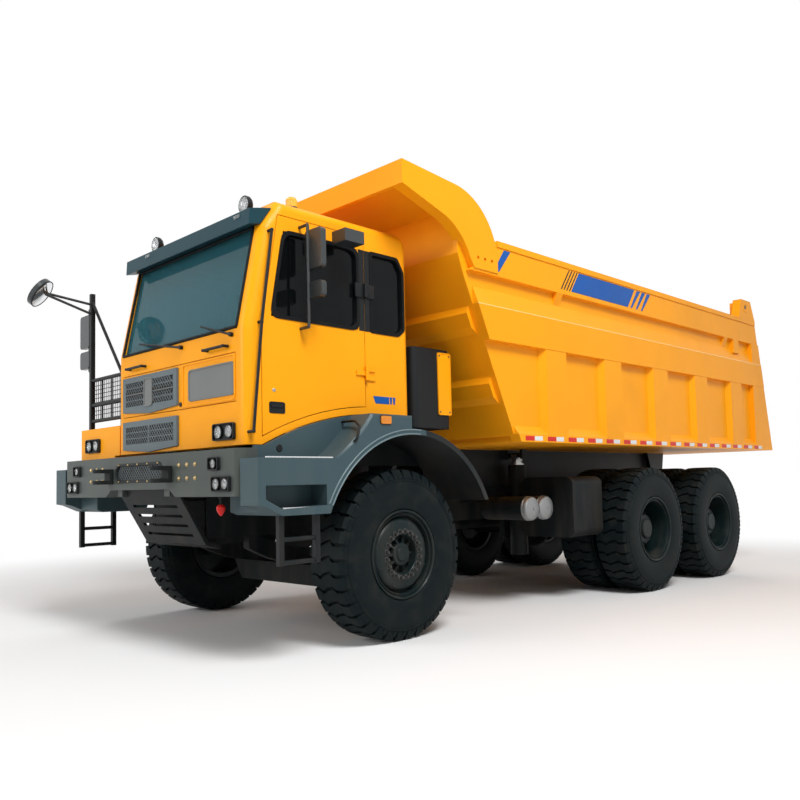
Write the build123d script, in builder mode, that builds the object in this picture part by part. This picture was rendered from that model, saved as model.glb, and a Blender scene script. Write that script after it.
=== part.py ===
"""Wide-body mining dump truck: offset cab, canopied tipping bed, dual rear wheels and linked hoist."""

import math
import os

from build123d import *

os.makedirs("parts", exist_ok=True)

# Layout: x is forward, y is left, z is up, with the origin on the ground under mid-length.
WHEELBASE = 4108.0
BOGIE_SPACING = 1797.0
FRONT_REACH = 2115.0
TAIL_REACH = 1970.0
HALF_WIDTH = 1905.0
FRONT_AXLE_X = (WHEELBASE + BOGIE_SPACING + TAIL_REACH - FRONT_REACH) / 2
REAR_AXLE_X = (FRONT_AXLE_X - WHEELBASE, FRONT_AXLE_X - WHEELBASE - BOGIE_SPACING)
BED_TAIL_X = REAR_AXLE_X[1] - TAIL_REACH
BOGIE_X = sum(REAR_AXLE_X) / 2
SIDES = (1, -1)
SEAT_GAP = 0.3
RUN_GAP = 6.0

# Tyres and rims, drawn as many-sided rings with a flat on the ground.
TYRE_RADIUS = 746.5
TYRE_WIDTH = 438.0
TYRE_SHOULDER_RADIUS = 655.0
TREAD_HALF = 165.0
LUG_DEPTH = 26.0
LUG_SHARE = 0.62
RING_SIDES = 24
RIM_RADIUS = 380.0
RIM_WALL = 36.0
RIM_HALF = 205.0
DISC_THICK = 32.0
FRONT_TYRE_OUTER_Y = 1655.0
REAR_TYRE_OUTER_Y = 1888.0
DUAL_GAP = 60.0
FRONT_WHEEL_Y = FRONT_TYRE_OUTER_Y - TYRE_WIDTH / 2
REAR_OUTER_Y = REAR_TYRE_OUTER_Y - TYRE_WIDTH / 2
REAR_INNER_Y = REAR_OUTER_Y - TYRE_WIDTH - DUAL_GAP
FRONT_HUB_RADIUS = 165.0
REAR_HUB_RADIUS = 215.0
SPINDLE_RADIUS = 80.0
SPINDLE_GAP = 0.6

# Ladder frame and running gear.
RAIL_Y = 430.0
RAIL_WIDTH = 90.0
RAIL_TOP = 1300.0
RAIL_HEIGHT = 380.0
RAIL_FRONT_X = FRONT_AXLE_X + 1250.0
RAIL_REAR_X = REAR_AXLE_X[1] - 955.0
RAIL_WEB = 22.0
CROSS_MEMBER_LENGTH = 140.0
TAIL_BAR = 90.0
TAIL_BAR_HALF = 1300.0
AXLE_TUBE_RADIUS = 115.0
DIFF_RADIUS = 290.0
KINGPIN_Y = 1110.0
KINGPIN_RADIUS = 42.0
KNUCKLE_EYE_HALF = 100.0
KNUCKLE_EAR = 46.0
BEAM_TOP = 600.0
BEAM_BOTTOM = 400.0
BEAM_LENGTH = 230.0
NECK_Y = 870.0
DROP_Y = 700.0
STEER_ARM_REACH = 330.0
STEER_ARM_INSET = 110.0
TIE_ROD_Z = 540.0
TIE_ROD_RADIUS = 28.0
LEAF_HALF = 820.0
LEAF_THICK = 110.0
LEAF_WIDTH = 90.0

# Bumper, skid plate and tow eyes.
BUMPER_X = FRONT_AXLE_X + 1650.0
BUMPER_HALF = 1570.0
BUMPER_BOTTOM = 1295.0
BUMPER_TOP = 1660.0
BUMPER_DEPTH = 170.0
BUMPER_WALL = 40.0
BUMPER_MESH_HALF = 410.0
BUMPER_MESH_LOW = 1445.0
BUMPER_MESH_HIGH = 1575.0
NOTCH_RISE = 65.0
NOTCH_SLOPE = 100.0
TOW_Y = 535.0
TOW_Z = 1485.0
TOW_REACH = 110.0
TOW_BORE_RADIUS = 28.0
TOW_EAR_THICK = 34.0
TOW_EAR_GAP = 70.0
SKID_HALF = 530.0

# Fenders and steps.
FENDER_OUTER_Y = 1800.0
FENDER_INNER_Y = 1190.0
FENDER_FRONT_X = FRONT_AXLE_X + 1640.0
ARCH_RADIUS = 1040.0
ARCH_THICK = 50.0
STEP_TOP_Z = 1578.0
STEP_LOW_Z = 1195.0
STEP_DEPTH = 200.0
POCKET_TOP_Z = 1372.0
POCKET_REAR_X = FRONT_AXLE_X + 997.0
POCKET_FRONT_X = FRONT_AXLE_X + 1573.0
POCKET_CUT = 150.0
SILL_X = FRONT_AXLE_X + 901.0
HUMP_Z = 1952.0
HUMP_FRONT_X = FRONT_AXLE_X + 503.0
HUMP_REAR_X = FRONT_AXLE_X + 15.0
HUMP_CHAMFER = 16.0
WELL_WALL = 40.0

# Cab: offset to the left, as one rounded shell that is split into its panels.
CAB_LEFT = 1500.0
CAB_RIGHT = -640.0
CAB_REAR = FRONT_AXLE_X - 270.0
CAB_FRONT = FRONT_AXLE_X + 1530.0
CAB_BOTTOM = 1690.0
CAB_HEEL_Z = 1975.0
CAB_ROOF = 3670.0
CAB_WALL = 60.0
CAB_PILLAR = 120.0
CAB_CORNER = 85.0
CAB_NAPE = 130.0
CAB_HEIGHT = CAB_ROOF - CAB_BOTTOM
SCREEN_LOW_Z = CAB_BOTTOM + CAB_HEIGHT * 46 / 99
SCREEN_HIGH_Z = CAB_ROOF - 230.0
SCREEN_RAKE = 170.0
ROOF_CROWN_X = CAB_FRONT - 330.0
GLASS_THICK = 12.0
DOOR_REAR_X = FRONT_AXLE_X + 290.0
DOOR_FRONT_X = FRONT_AXLE_X + 1390.0
DOOR_TOP_Z = CAB_ROOF - 125.0
DOOR_SILL_RISE = 60.0
BELT_Z = SCREEN_LOW_Z + 100.0
WINDOW_TOP_Z = CAB_ROOF - 250.0
WINDOW_RISE = WINDOW_TOP_Z - BELT_Z
FRAME_BAR = 75.0
HINGE_ZS = (CAB_HEEL_Z + 355.0, BELT_Z + WINDOW_RISE * 35 / 71)
HINGE_RADIUS = 16.0
HINGE_OUT = 24.0
HINGE_HALF = 60.0
HINGE_LEAF = 14.0
HINGE_REACH = 110.0
FLAP_RIGHT_Y = -520.0
FLAP_LEFT_Y = 1360.0
FLAP_LOW_Z = CAB_BOTTOM + CAB_HEIGHT * 17 / 99
FLAP_HIGH_Z = SCREEN_LOW_Z - 190.0

# Bed: side walls, floor, raked front wall, canopy and top-hung tailgate.
BED_TOP_Z = CAB_ROOF + 30.0
BED_BOTTOM_Z = 1750.0
BED_HEIGHT = BED_TOP_Z - BED_BOTTOM_Z
BED_FLOOR_THICK = 60.0
BED_WALL = 60.0
BED_RIB_DEPTH = 65.0
BED_RAIL_LOW_Z = BED_TOP_Z - 350.0
BED_CAP = 60.0
BED_CAP_OUT = 10.0
BED_RIDGE_Z = BED_BOTTOM_Z + 0.664 * BED_HEIGHT
BED_RIDGE_LOW_Z = BED_BOTTOM_Z + 0.495 * BED_HEIGHT
BED_STRIP_Z = BED_BOTTOM_Z + 75.0
BED_LEDGE = 85.0
BED_TOE_X = CAB_REAR - 1130.0
BED_HEEL_X = CAB_REAR - 840.0
BED_LEAN = 612.0
CANOPY_TIP_X = CAB_REAR + 460.0
CANOPY_TOP_Z = BED_TOP_Z + 467.0
CANOPY_LIP = 214.0
NECK_Z = BED_RAIL_LOW_Z - 20.0
BED_TAIL_TOP_X = BED_TAIL_X + 455.0
GATE_THICK = 70.0
GATE_PIN_X = BED_TAIL_X + 795.0
GATE_PIN_Z = BED_TOP_Z + 180.0
GATE_PIN_RADIUS = 32.0
POST_FRONT_X = BED_TAIL_X + 632.0
EAR_FRONT_X = BED_TAIL_X + 1035.0
EAR_TOP_Z = BED_TOP_Z + 290.0
RIB_COUNT = 5
RIB_WIDTH = 370.0
RIB_FLARE = 55.0
RIB_FIRST_X = BED_TOE_X - 655.0
RIB_LAST_X = POST_FRONT_X + 628.0
RIB_PITCH = (RIB_FIRST_X - RIB_LAST_X) / (RIB_COUNT - 1)
SILL_WIDTH = 100.0
BED_PIN_X = REAR_AXLE_X[1] - 845.0
BED_PIN_Z = RAIL_TOP
BED_PIN_RADIUS = 50.0
BED_EAR_Y = 505.0
BED_EAR_THICK = 60.0

# Hoist: two telescopic cylinders side by side, each with three sleeves.
HOIST_Y = 640.0
HOIST_X = BED_PIN_X + 3750.0
HOIST_PIVOT_Z = 800.0
HOIST_EYE_Z = BED_BOTTOM_Z - 70.0
HOIST_TOP_Z = 1560.0
HOIST_BRACKET_Y = 505.0
HOIST_BELOW = 330.0
HOIST_RADII = (108.0, 88.0, 70.0, 52.0)
HOIST_PIN_RADIUS = 30.0


def side_plane(y):
    """Plane across the truck at y, drawn in x and z, that extrudes to the right."""
    return Plane(origin=(0, y, 0), x_dir=(1, 0, 0), z_dir=(0, -1, 0))


def front_plane(x):
    """Plane at x, drawn in y and z, that extrudes forward."""
    return Plane(origin=(x, 0, 0), x_dir=(0, 1, 0), z_dir=(1, 0, 0))


def prism(plane, points, depth, mode=Mode.ADD):
    """Straight-sided solid of an outline drawn on a plane."""
    with BuildSketch(plane) as outline:
        with BuildLine():
            Polyline(*points, close=True)
        make_face()
    extrude(outline.sketch, amount=depth, mode=mode)


def slab(points, y_left, y_right, mode=Mode.ADD):
    """Side outline that runs from y_left to y_right."""
    prism(side_plane(y_left), points, y_left - y_right, mode)


def block(xs, ys, zs, mode=Mode.ADD):
    """Box between two values of each axis."""
    centre = tuple((a + b) / 2 for a, b in (xs, ys, zs))
    with Locations(centre):
        Box(*(abs(b - a) for a, b in (xs, ys, zs)), mode=mode)


def bar(start, end, radius, mode=Mode.ADD):
    """Round bar between two points."""
    way = Vector(*end) - Vector(*start)
    with BuildSketch(Plane(origin=start, z_dir=way)) as circle:
        Circle(radius)
    extrude(circle.sketch, amount=way.length, mode=mode)


def ring_stack(x, stations, mode=Mode.ADD):
    """Many-sided solid about a wheel's axis, through (y, radius to the flats) stations."""
    rings = []
    for y, radius in stations:
        plane = Plane(origin=(x, y, TYRE_RADIUS), x_dir=(1, 0, 0), z_dir=(0, 1, 0))
        with BuildSketch(plane) as ring:
            RegularPolygon(radius, RING_SIDES, major_radius=False, rotation=180 / RING_SIDES)
        rings.append(ring.sketch)
    loft(rings, ruled=True, mode=mode)


def save(part, name):
    """Label a finished sub-part and write it."""
    part.label = name
    export_step(part, f"parts/{name}.step")


def cab_side(inset):
    """Side outline of the cab, moved in by inset."""
    with BuildSketch() as outline:
        with BuildLine():
            Polyline(
                (DOOR_REAR_X, CAB_HEEL_Z),
                (CAB_REAR, CAB_HEEL_Z),
                (CAB_REAR, CAB_ROOF),
                (ROOF_CROWN_X, CAB_ROOF),
                (CAB_FRONT - SCREEN_RAKE, SCREEN_HIGH_Z),
                (CAB_FRONT, SCREEN_LOW_Z),
                (CAB_FRONT, CAB_BOTTOM),
                (DOOR_FRONT_X, CAB_BOTTOM),
            )
            ThreePointArc(
                (DOOR_FRONT_X, CAB_BOTTOM),
                ((DOOR_FRONT_X + DOOR_REAR_X) / 2, (CAB_BOTTOM + CAB_HEEL_Z) / 2 + DOOR_SILL_RISE),
                (DOOR_REAR_X, CAB_HEEL_Z),
            )
        make_face()
        if inset:
            offset(amount=-inset, kind=Kind.INTERSECTION, mode=Mode.REPLACE)
    return outline.sketch


def door_outline(gap, low=0.0):
    """Outline of a side door above low, moved in by gap."""
    with BuildSketch() as outline:
        with BuildLine():
            Polyline(
                (DOOR_REAR_X, CAB_HEEL_Z + CAB_WALL),
                (DOOR_REAR_X, DOOR_TOP_Z),
                (DOOR_FRONT_X - SCREEN_RAKE, DOOR_TOP_Z),
                (DOOR_FRONT_X, SCREEN_LOW_Z),
                (DOOR_FRONT_X, CAB_BOTTOM + CAB_WALL),
            )
            ThreePointArc(
                (DOOR_FRONT_X, CAB_BOTTOM + CAB_WALL),
                (
                    (DOOR_FRONT_X + DOOR_REAR_X) / 2,
                    (CAB_BOTTOM + CAB_HEEL_Z) / 2 + DOOR_SILL_RISE + CAB_WALL,
                ),
                (DOOR_REAR_X, CAB_HEEL_Z + CAB_WALL),
            )
        make_face()
        with Locations(((DOOR_REAR_X + DOOR_FRONT_X) / 2, low + CAB_ROOF / 2)):
            Rectangle(CAB_ROOF, CAB_ROOF, mode=Mode.INTERSECT)
        if gap:
            offset(amount=-gap, kind=Kind.INTERSECTION, mode=Mode.REPLACE)
    return outline.sketch


def lifted(sketch, y):
    """Sketch drawn in x and z, set upright across the truck at y."""
    return side_plane(y) * sketch


# Frame rails, cross-members and the bed's hinge pin.
with BuildPart() as frame:
    rail_low = RAIL_TOP - RAIL_HEIGHT
    for hand in SIDES:
        inner = hand * (RAIL_Y - RAIL_WIDTH / 2)
        outer = hand * (RAIL_Y + RAIL_WIDTH / 2)
        block((RAIL_REAR_X, RAIL_FRONT_X), (inner, outer), (rail_low, RAIL_TOP))
        channel = outer - hand * RAIL_WEB
        pocket = (rail_low + RAIL_WEB, RAIL_TOP - RAIL_WEB)
        block((RAIL_REAR_X, RAIL_FRONT_X), (inner, channel), pocket, Mode.SUBTRACT)
    cross_stations = (
        RAIL_FRONT_X - CROSS_MEMBER_LENGTH / 2,
        HOIST_X,
        REAR_AXLE_X[0] + BOGIE_SPACING / 4,
        REAR_AXLE_X[1] - BOGIE_SPACING / 4,
    )
    for station in cross_stations:
        block(
            (station - CROSS_MEMBER_LENGTH / 2, station + CROSS_MEMBER_LENGTH / 2),
            (-RAIL_Y, RAIL_Y),
            (rail_low + RAIL_WEB, RAIL_TOP - 2 * RAIL_WEB),
        )
    pin_end = BED_EAR_Y + BED_EAR_THICK + CAB_WALL
    bar((BED_PIN_X, -pin_end, BED_PIN_Z), (BED_PIN_X, pin_end, BED_PIN_Z), BED_PIN_RADIUS)
    for hand in SIDES:
        bracket_y = (hand * RAIL_Y, hand * HOIST_BRACKET_Y)
        block(
            (HOIST_X - HOIST_RADII[0], HOIST_X + HOIST_RADII[0]),
            bracket_y,
            (HOIST_PIVOT_Z - HOIST_RADII[0], rail_low + RAIL_WEB),
        )
        ends = [(HOIST_X, y, HOIST_PIVOT_Z) for y in bracket_y]
        bar(*ends, HOIST_PIN_RADIUS + SPINDLE_GAP, Mode.SUBTRACT)
    tail_ys = (-TAIL_BAR_HALF, TAIL_BAR_HALF)
    block((RAIL_REAR_X - TAIL_BAR, RAIL_REAR_X), tail_ys, (rail_low, rail_low + 2 * TAIL_BAR))
save(frame.part, "frame")

# Engine with gearbox, as one plain mass between the rails.
ENGINE_HALF = RAIL_Y - RAIL_WIDTH / 2 - 20
ENGINE_REAR_X = FRONT_AXLE_X - 900.0
ENGINE_FRONT_X = FRONT_AXLE_X + 640.0
RADIATOR_FRONT_X = FRONT_AXLE_X + 1095.0
ENGINE_BOTTOM = BEAM_TOP + 260
with BuildPart() as engine:
    block((ENGINE_REAR_X, ENGINE_FRONT_X), (-ENGINE_HALF, ENGINE_HALF), (ENGINE_BOTTOM, CAB_HEEL_Z - 100))
    radiator_zs = (ENGINE_BOTTOM, CAB_BOTTOM - 50)
    block((ENGINE_FRONT_X, RADIATOR_FRONT_X), (-ENGINE_HALF, ENGINE_HALF), radiator_zs)
    block(
        (ENGINE_REAR_X - 900, ENGINE_REAR_X),
        (-ENGINE_HALF * 0.7, ENGINE_HALF * 0.7),
        (ENGINE_BOTTOM, RAIL_TOP - RAIL_WEB),
    )
    for x in (ENGINE_REAR_X, ENGINE_FRONT_X - CROSS_MEMBER_LENGTH):
        block((x, x + CROSS_MEMBER_LENGTH), (-RAIL_Y, RAIL_Y), (RAIL_TOP, RAIL_TOP + 3 * RAIL_WEB))
save(engine.part, "engine")

# Front axle beam, dropped in the middle, with an eye for each kingpin.
EYE_RADIUS = KINGPIN_RADIUS + 45
with BuildPart() as front_axle:
    neck_low = TYRE_RADIUS - KNUCKLE_EYE_HALF
    neck_high = TYRE_RADIUS + KNUCKLE_EYE_HALF
    half_beam = [
        (KINGPIN_Y, neck_high),
        (NECK_Y, neck_high),
        (DROP_Y, BEAM_TOP),
    ]
    half_under = [
        (DROP_Y, BEAM_BOTTOM),
        (NECK_Y, neck_low),
        (KINGPIN_Y, neck_low),
    ]
    left = half_under + half_beam
    beam = left + [(-y, z) for y, z in reversed(left)]
    prism(front_plane(FRONT_AXLE_X - BEAM_LENGTH / 2), beam, BEAM_LENGTH)
    for hand in SIDES:
        low = (FRONT_AXLE_X, hand * KINGPIN_Y, TYRE_RADIUS - KNUCKLE_EYE_HALF)
        high = (FRONT_AXLE_X, hand * KINGPIN_Y, TYRE_RADIUS + KNUCKLE_EYE_HALF)
        block(
            (FRONT_AXLE_X - BEAM_LENGTH, FRONT_AXLE_X + BEAM_LENGTH),
            (hand * (KINGPIN_Y - EYE_RADIUS), hand * (KINGPIN_Y + EYE_RADIUS)),
            (BEAM_BOTTOM, TYRE_RADIUS + BEAM_LENGTH),
            Mode.SUBTRACT,
        )
        bar(low, high, EYE_RADIUS + 10)
        bar(low, high, KINGPIN_RADIUS + SPINDLE_GAP, Mode.SUBTRACT)
save(front_axle.part, "front_axle")

# Front leaf springs with their hangers, on top of the beam and under the rails.
with BuildPart() as front_springs:
    for hand in SIDES:
        spring_y = hand * RAIL_Y
        with BuildSketch(side_plane(spring_y + LEAF_WIDTH / 2)) as leaves:
            with BuildLine():
                rail_low = RAIL_TOP - RAIL_HEIGHT
                tip = rail_low - LEAF_THICK
                ThreePointArc(
                    (FRONT_AXLE_X - LEAF_HALF, tip),
                    (FRONT_AXLE_X, BEAM_TOP),
                    (FRONT_AXLE_X + LEAF_HALF, tip),
                )
                Polyline(
                    (FRONT_AXLE_X + LEAF_HALF, tip),
                    (FRONT_AXLE_X + LEAF_HALF, rail_low),
                    (FRONT_AXLE_X + LEAF_HALF - LEAF_THICK, rail_low),
                )
                ThreePointArc(
                    (FRONT_AXLE_X + LEAF_HALF - LEAF_THICK, rail_low),
                    (FRONT_AXLE_X, BEAM_TOP + 1.5 * LEAF_THICK),
                    (FRONT_AXLE_X - LEAF_HALF + LEAF_THICK, rail_low),
                )
                Polyline(
                    (FRONT_AXLE_X - LEAF_HALF + LEAF_THICK, rail_low),
                    (FRONT_AXLE_X - LEAF_HALF, rail_low),
                    (FRONT_AXLE_X - LEAF_HALF, tip),
                )
            make_face()
        extrude(leaves.sketch, amount=LEAF_WIDTH)
save(front_springs.part, "front_springs")

# Rear axle housings with their differential cases, spindles and the shafts that drive them.
SHAFT_RADIUS = 62.0
SHAFT_Z = TYRE_RADIUS + DIFF_RADIUS / 3
PACK_Y = RAIL_Y + RAIL_WIDTH / 2 + LEAF_WIDTH
PACK_PAD_Z = TYRE_RADIUS + AXLE_TUBE_RADIUS + RAIL_WEB
with BuildPart() as rear_axles:
    gearbox_end = (ENGINE_REAR_X - 900 - SEAT_GAP, 0, SHAFT_Z)
    bar(gearbox_end, (REAR_AXLE_X[0], 0, SHAFT_Z), SHAFT_RADIUS)
    bar((REAR_AXLE_X[0], 0, SHAFT_Z), (REAR_AXLE_X[1], 0, SHAFT_Z), SHAFT_RADIUS)
    spindle_end = REAR_OUTER_Y - 30
    for axle_x in REAR_AXLE_X:
        tube_end = REAR_INNER_Y - RIM_HALF - 40
        bar((axle_x, -tube_end, TYRE_RADIUS), (axle_x, tube_end, TYRE_RADIUS), AXLE_TUBE_RADIUS)
        bar((axle_x, -spindle_end, TYRE_RADIUS), (axle_x, spindle_end, TYRE_RADIUS), SPINDLE_RADIUS)
        with Locations((axle_x, 0, TYRE_RADIUS)):
            Sphere(DIFF_RADIUS)
        for hand in SIDES:
            seat_ys = (hand * (PACK_Y - LEAF_WIDTH / 2), hand * (PACK_Y + LEAF_WIDTH / 2))
            block((axle_x - LEAF_THICK / 2, axle_x + LEAF_THICK / 2), seat_ys, (TYRE_RADIUS, PACK_PAD_Z))
save(rear_axles.part, "rear_axles")

# Rear bogie: a trunnion under the rails carries a spring pack on each side, down onto both axles.
with BuildPart() as bogie:
    crown_z = RAIL_TOP - RAIL_HEIGHT + LEAF_THICK
    pack_end = BOGIE_SPACING / 2 + LEAF_THICK
    pack_flat = BOGIE_SPACING / 2 - LEAF_THICK
    pack_top = PACK_PAD_Z + LEAF_THICK / 2
    trunnion_z = RAIL_TOP - RAIL_HEIGHT - LEAF_THICK
    for hand in SIDES:
        with BuildSketch(side_plane(hand * PACK_Y + LEAF_WIDTH / 2)) as pack:
            with BuildLine():
                ThreePointArc(
                    (BOGIE_X - pack_flat, PACK_PAD_Z),
                    (BOGIE_X, crown_z),
                    (BOGIE_X + pack_flat, PACK_PAD_Z),
                )
                Polyline(
                    (BOGIE_X + pack_flat, PACK_PAD_Z),
                    (BOGIE_X + pack_end, PACK_PAD_Z),
                    (BOGIE_X + pack_end, pack_top),
                )
                ThreePointArc(
                    (BOGIE_X + pack_end, pack_top),
                    (BOGIE_X, crown_z + 2 * LEAF_THICK),
                    (BOGIE_X - pack_end, pack_top),
                )
                Polyline(
                    (BOGIE_X - pack_end, pack_top),
                    (BOGIE_X - pack_end, PACK_PAD_Z),
                    (BOGIE_X - pack_flat, PACK_PAD_Z),
                )
            make_face()
        extrude(pack.sketch, amount=LEAF_WIDTH)
        saddle_x = (BOGIE_X - 1.5 * LEAF_WIDTH, BOGIE_X + 1.5 * LEAF_WIDTH)
        saddle_y = (hand * (PACK_Y - LEAF_WIDTH / 2), hand * (PACK_Y + LEAF_WIDTH / 2))
        hanger_y = (hand * (RAIL_Y - RAIL_WIDTH / 2), hand * (RAIL_Y + RAIL_WIDTH / 2))
        block(saddle_x, saddle_y, (trunnion_z, crown_z + LEAF_THICK))
        block(saddle_x, hanger_y, (trunnion_z - LEAF_THICK, RAIL_TOP - RAIL_HEIGHT))
        bar((BOGIE_X, hanger_y[0], trunnion_z), (BOGIE_X, saddle_y[1], trunnion_z), LEAF_THICK * 0.75)
save(bogie.part, "bogie")

# Steering knuckles: kingpin, two ears round the axle's eye, spindle and steering arm.
for hand, name in ((1, "knuckle_left"), (-1, "knuckle_right")):
    with BuildPart() as knuckle:
        pin_y = hand * KINGPIN_Y
        ear = KNUCKLE_EAR
        eye_low = TYRE_RADIUS - KNUCKLE_EYE_HALF - SPINDLE_GAP
        eye_high = TYRE_RADIUS + KNUCKLE_EYE_HALF + SPINDLE_GAP
        bar((FRONT_AXLE_X, pin_y, eye_low - ear), (FRONT_AXLE_X, pin_y, eye_high + ear), KINGPIN_RADIUS)
        web_y = pin_y + hand * (EYE_RADIUS + 10 + RUN_GAP)
        for z in (eye_low - ear, eye_high):
            block(
                (FRONT_AXLE_X - EYE_RADIUS, FRONT_AXLE_X + EYE_RADIUS),
                (pin_y - hand * EYE_RADIUS, web_y + hand * ear),
                (z, z + ear),
            )
        block(
            (FRONT_AXLE_X - EYE_RADIUS, FRONT_AXLE_X + EYE_RADIUS),
            (web_y, web_y + hand * ear),
            (eye_low - ear, eye_high + ear),
        )
        bar(
            (FRONT_AXLE_X, web_y, TYRE_RADIUS),
            (FRONT_AXLE_X, hand * (FRONT_WHEEL_Y + 60), TYRE_RADIUS),
            SPINDLE_RADIUS,
        )
        arm_y = pin_y - hand * STEER_ARM_INSET
        arm_x = FRONT_AXLE_X - STEER_ARM_REACH
        arm = [
            (FRONT_AXLE_X - EYE_RADIUS, pin_y - hand * EYE_RADIUS),
            (FRONT_AXLE_X - EYE_RADIUS, pin_y + hand * EYE_RADIUS),
            (arm_x - ear, arm_y + hand * ear),
            (arm_x - ear, arm_y - hand * ear),
        ]
        prism(Plane.XY.offset(eye_low - ear), arm, ear)
    save(knuckle.part, name)

# Tie rod between the two steering arms, with a ball socket over each arm's pin.
with BuildPart() as tie_rod:
    ball_x = FRONT_AXLE_X - STEER_ARM_REACH
    ball_y = KINGPIN_Y - STEER_ARM_INSET
    socket = 1.5 * TIE_ROD_RADIUS
    bar((ball_x, -ball_y, TIE_ROD_Z), (ball_x, ball_y, TIE_ROD_Z), TIE_ROD_RADIUS)
    for hand in SIDES:
        low = (ball_x, hand * ball_y, TIE_ROD_Z - socket)
        arm_low = TYRE_RADIUS - KNUCKLE_EYE_HALF - SPINDLE_GAP - KNUCKLE_EAR
        high = (ball_x, hand * ball_y, arm_low - SEAT_GAP)
        bar(low, high, socket)
save(tie_rod.part, "tie_rod")


# Tyre: sloped shoulders and one cross lug on each flat of the tread.
with BuildPart() as tyre_form:
    tread = TYRE_RADIUS - LUG_DEPTH
    shoulder = TYRE_SHOULDER_RADIUS
    edge = TYRE_WIDTH / 2
    ring_stack(0, ((-edge, shoulder), (-TREAD_HALF, tread), (TREAD_HALF, tread), (edge, shoulder)))
    ring_stack(0, ((-edge, RIM_RADIUS), (edge, RIM_RADIUS)), Mode.SUBTRACT)
    lug_length = LUG_SHARE * 2 * TYRE_RADIUS * math.tan(math.pi / RING_SIDES)
    with Locations(Plane(origin=(0, 0, TYRE_RADIUS), x_dir=(1, 0, 0), z_dir=(0, 1, 0))):
        with PolarLocations(TYRE_RADIUS - LUG_DEPTH, RING_SIDES):
            Box(2 * LUG_DEPTH, lug_length, 2 * TREAD_HALF)


def tyre(x, y):
    """Tyre centred at x and y."""
    with Locations((x, y, 0)):
        add(tyre_form.part)


def rim_band(x, y_low, y_high):
    """Open many-sided band that the tyre sits on."""
    ring_stack(x, ((y_low, RIM_RADIUS), (y_high, RIM_RADIUS)))
    bore = RIM_RADIUS - RIM_WALL
    ring_stack(x, ((y_low, bore), (y_high, bore)), Mode.SUBTRACT)


# Front wheels: rim with an outboard disc and a stepped hub over the spindle.
for hand, name in ((1, "left"), (-1, "right")):
    wheel_y = hand * FRONT_WHEEL_Y
    with BuildPart() as front_tyre:
        tyre(FRONT_AXLE_X, wheel_y)
    save(front_tyre.part, f"tyre_front_{name}")
    with BuildPart() as front_rim:
        rim_band(FRONT_AXLE_X, wheel_y - RIM_HALF, wheel_y + RIM_HALF)
        disc = sorted((wheel_y + hand * 60, wheel_y + hand * (60 + DISC_THICK)))
        ring_stack(FRONT_AXLE_X, [(y, RIM_RADIUS - RIM_WALL / 2) for y in disc])
        hub_in = (FRONT_AXLE_X, wheel_y - hand * 40, TYRE_RADIUS)
        hub_out = (FRONT_AXLE_X, wheel_y + hand * 150, TYRE_RADIUS)
        cap_out = (FRONT_AXLE_X, wheel_y + hand * 200, TYRE_RADIUS)
        bar(hub_in, hub_out, FRONT_HUB_RADIUS)
        bar(hub_out, cap_out, FRONT_HUB_RADIUS * 0.6)
        spindle_end = (FRONT_AXLE_X, wheel_y + hand * (60 + SPINDLE_GAP), TYRE_RADIUS)
        bar(hub_in, spindle_end, SPINDLE_RADIUS + SPINDLE_GAP, Mode.SUBTRACT)
    save(front_rim.part, f"rim_front_{name}")

# Rear dual wheels: two bands on a spacer, a disc between them and a planetary hub.
for axle_x, axle in zip(REAR_AXLE_X, ("mid", "rear")):
    for hand, name in ((1, "left"), (-1, "right")):
        with BuildPart() as dual_tyres:
            for station in (REAR_OUTER_Y, REAR_INNER_Y):
                tyre(axle_x, hand * station)
        save(dual_tyres.part, f"tyres_{axle}_{name}")
        with BuildPart() as dual_rim:
            ends = sorted((hand * (REAR_INNER_Y - RIM_HALF), hand * (REAR_OUTER_Y + RIM_HALF)))
            rim_band(axle_x, *ends)
            mid_y = hand * (REAR_OUTER_Y + REAR_INNER_Y) / 2
            disc = (mid_y - DISC_THICK / 2, mid_y + DISC_THICK / 2)
            ring_stack(axle_x, [(y, RIM_RADIUS - RIM_WALL / 2) for y in disc])
            hub_in = (axle_x, mid_y - hand * 120, TYRE_RADIUS)
            hub_out = (axle_x, hand * REAR_OUTER_Y, TYRE_RADIUS)
            cap_out = (axle_x, hand * (REAR_OUTER_Y + RIM_HALF / 2), TYRE_RADIUS)
            bar(hub_in, hub_out, REAR_HUB_RADIUS)
            bar(hub_out, cap_out, REAR_HUB_RADIUS * 0.75)
            spindle_end = (axle_x, hand * (REAR_OUTER_Y - 30 + SPINDLE_GAP), TYRE_RADIUS)
            bar(hub_in, spindle_end, SPINDLE_RADIUS + SPINDLE_GAP, Mode.SUBTRACT)
        save(dual_rim.part, f"rims_{axle}_{name}")

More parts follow.
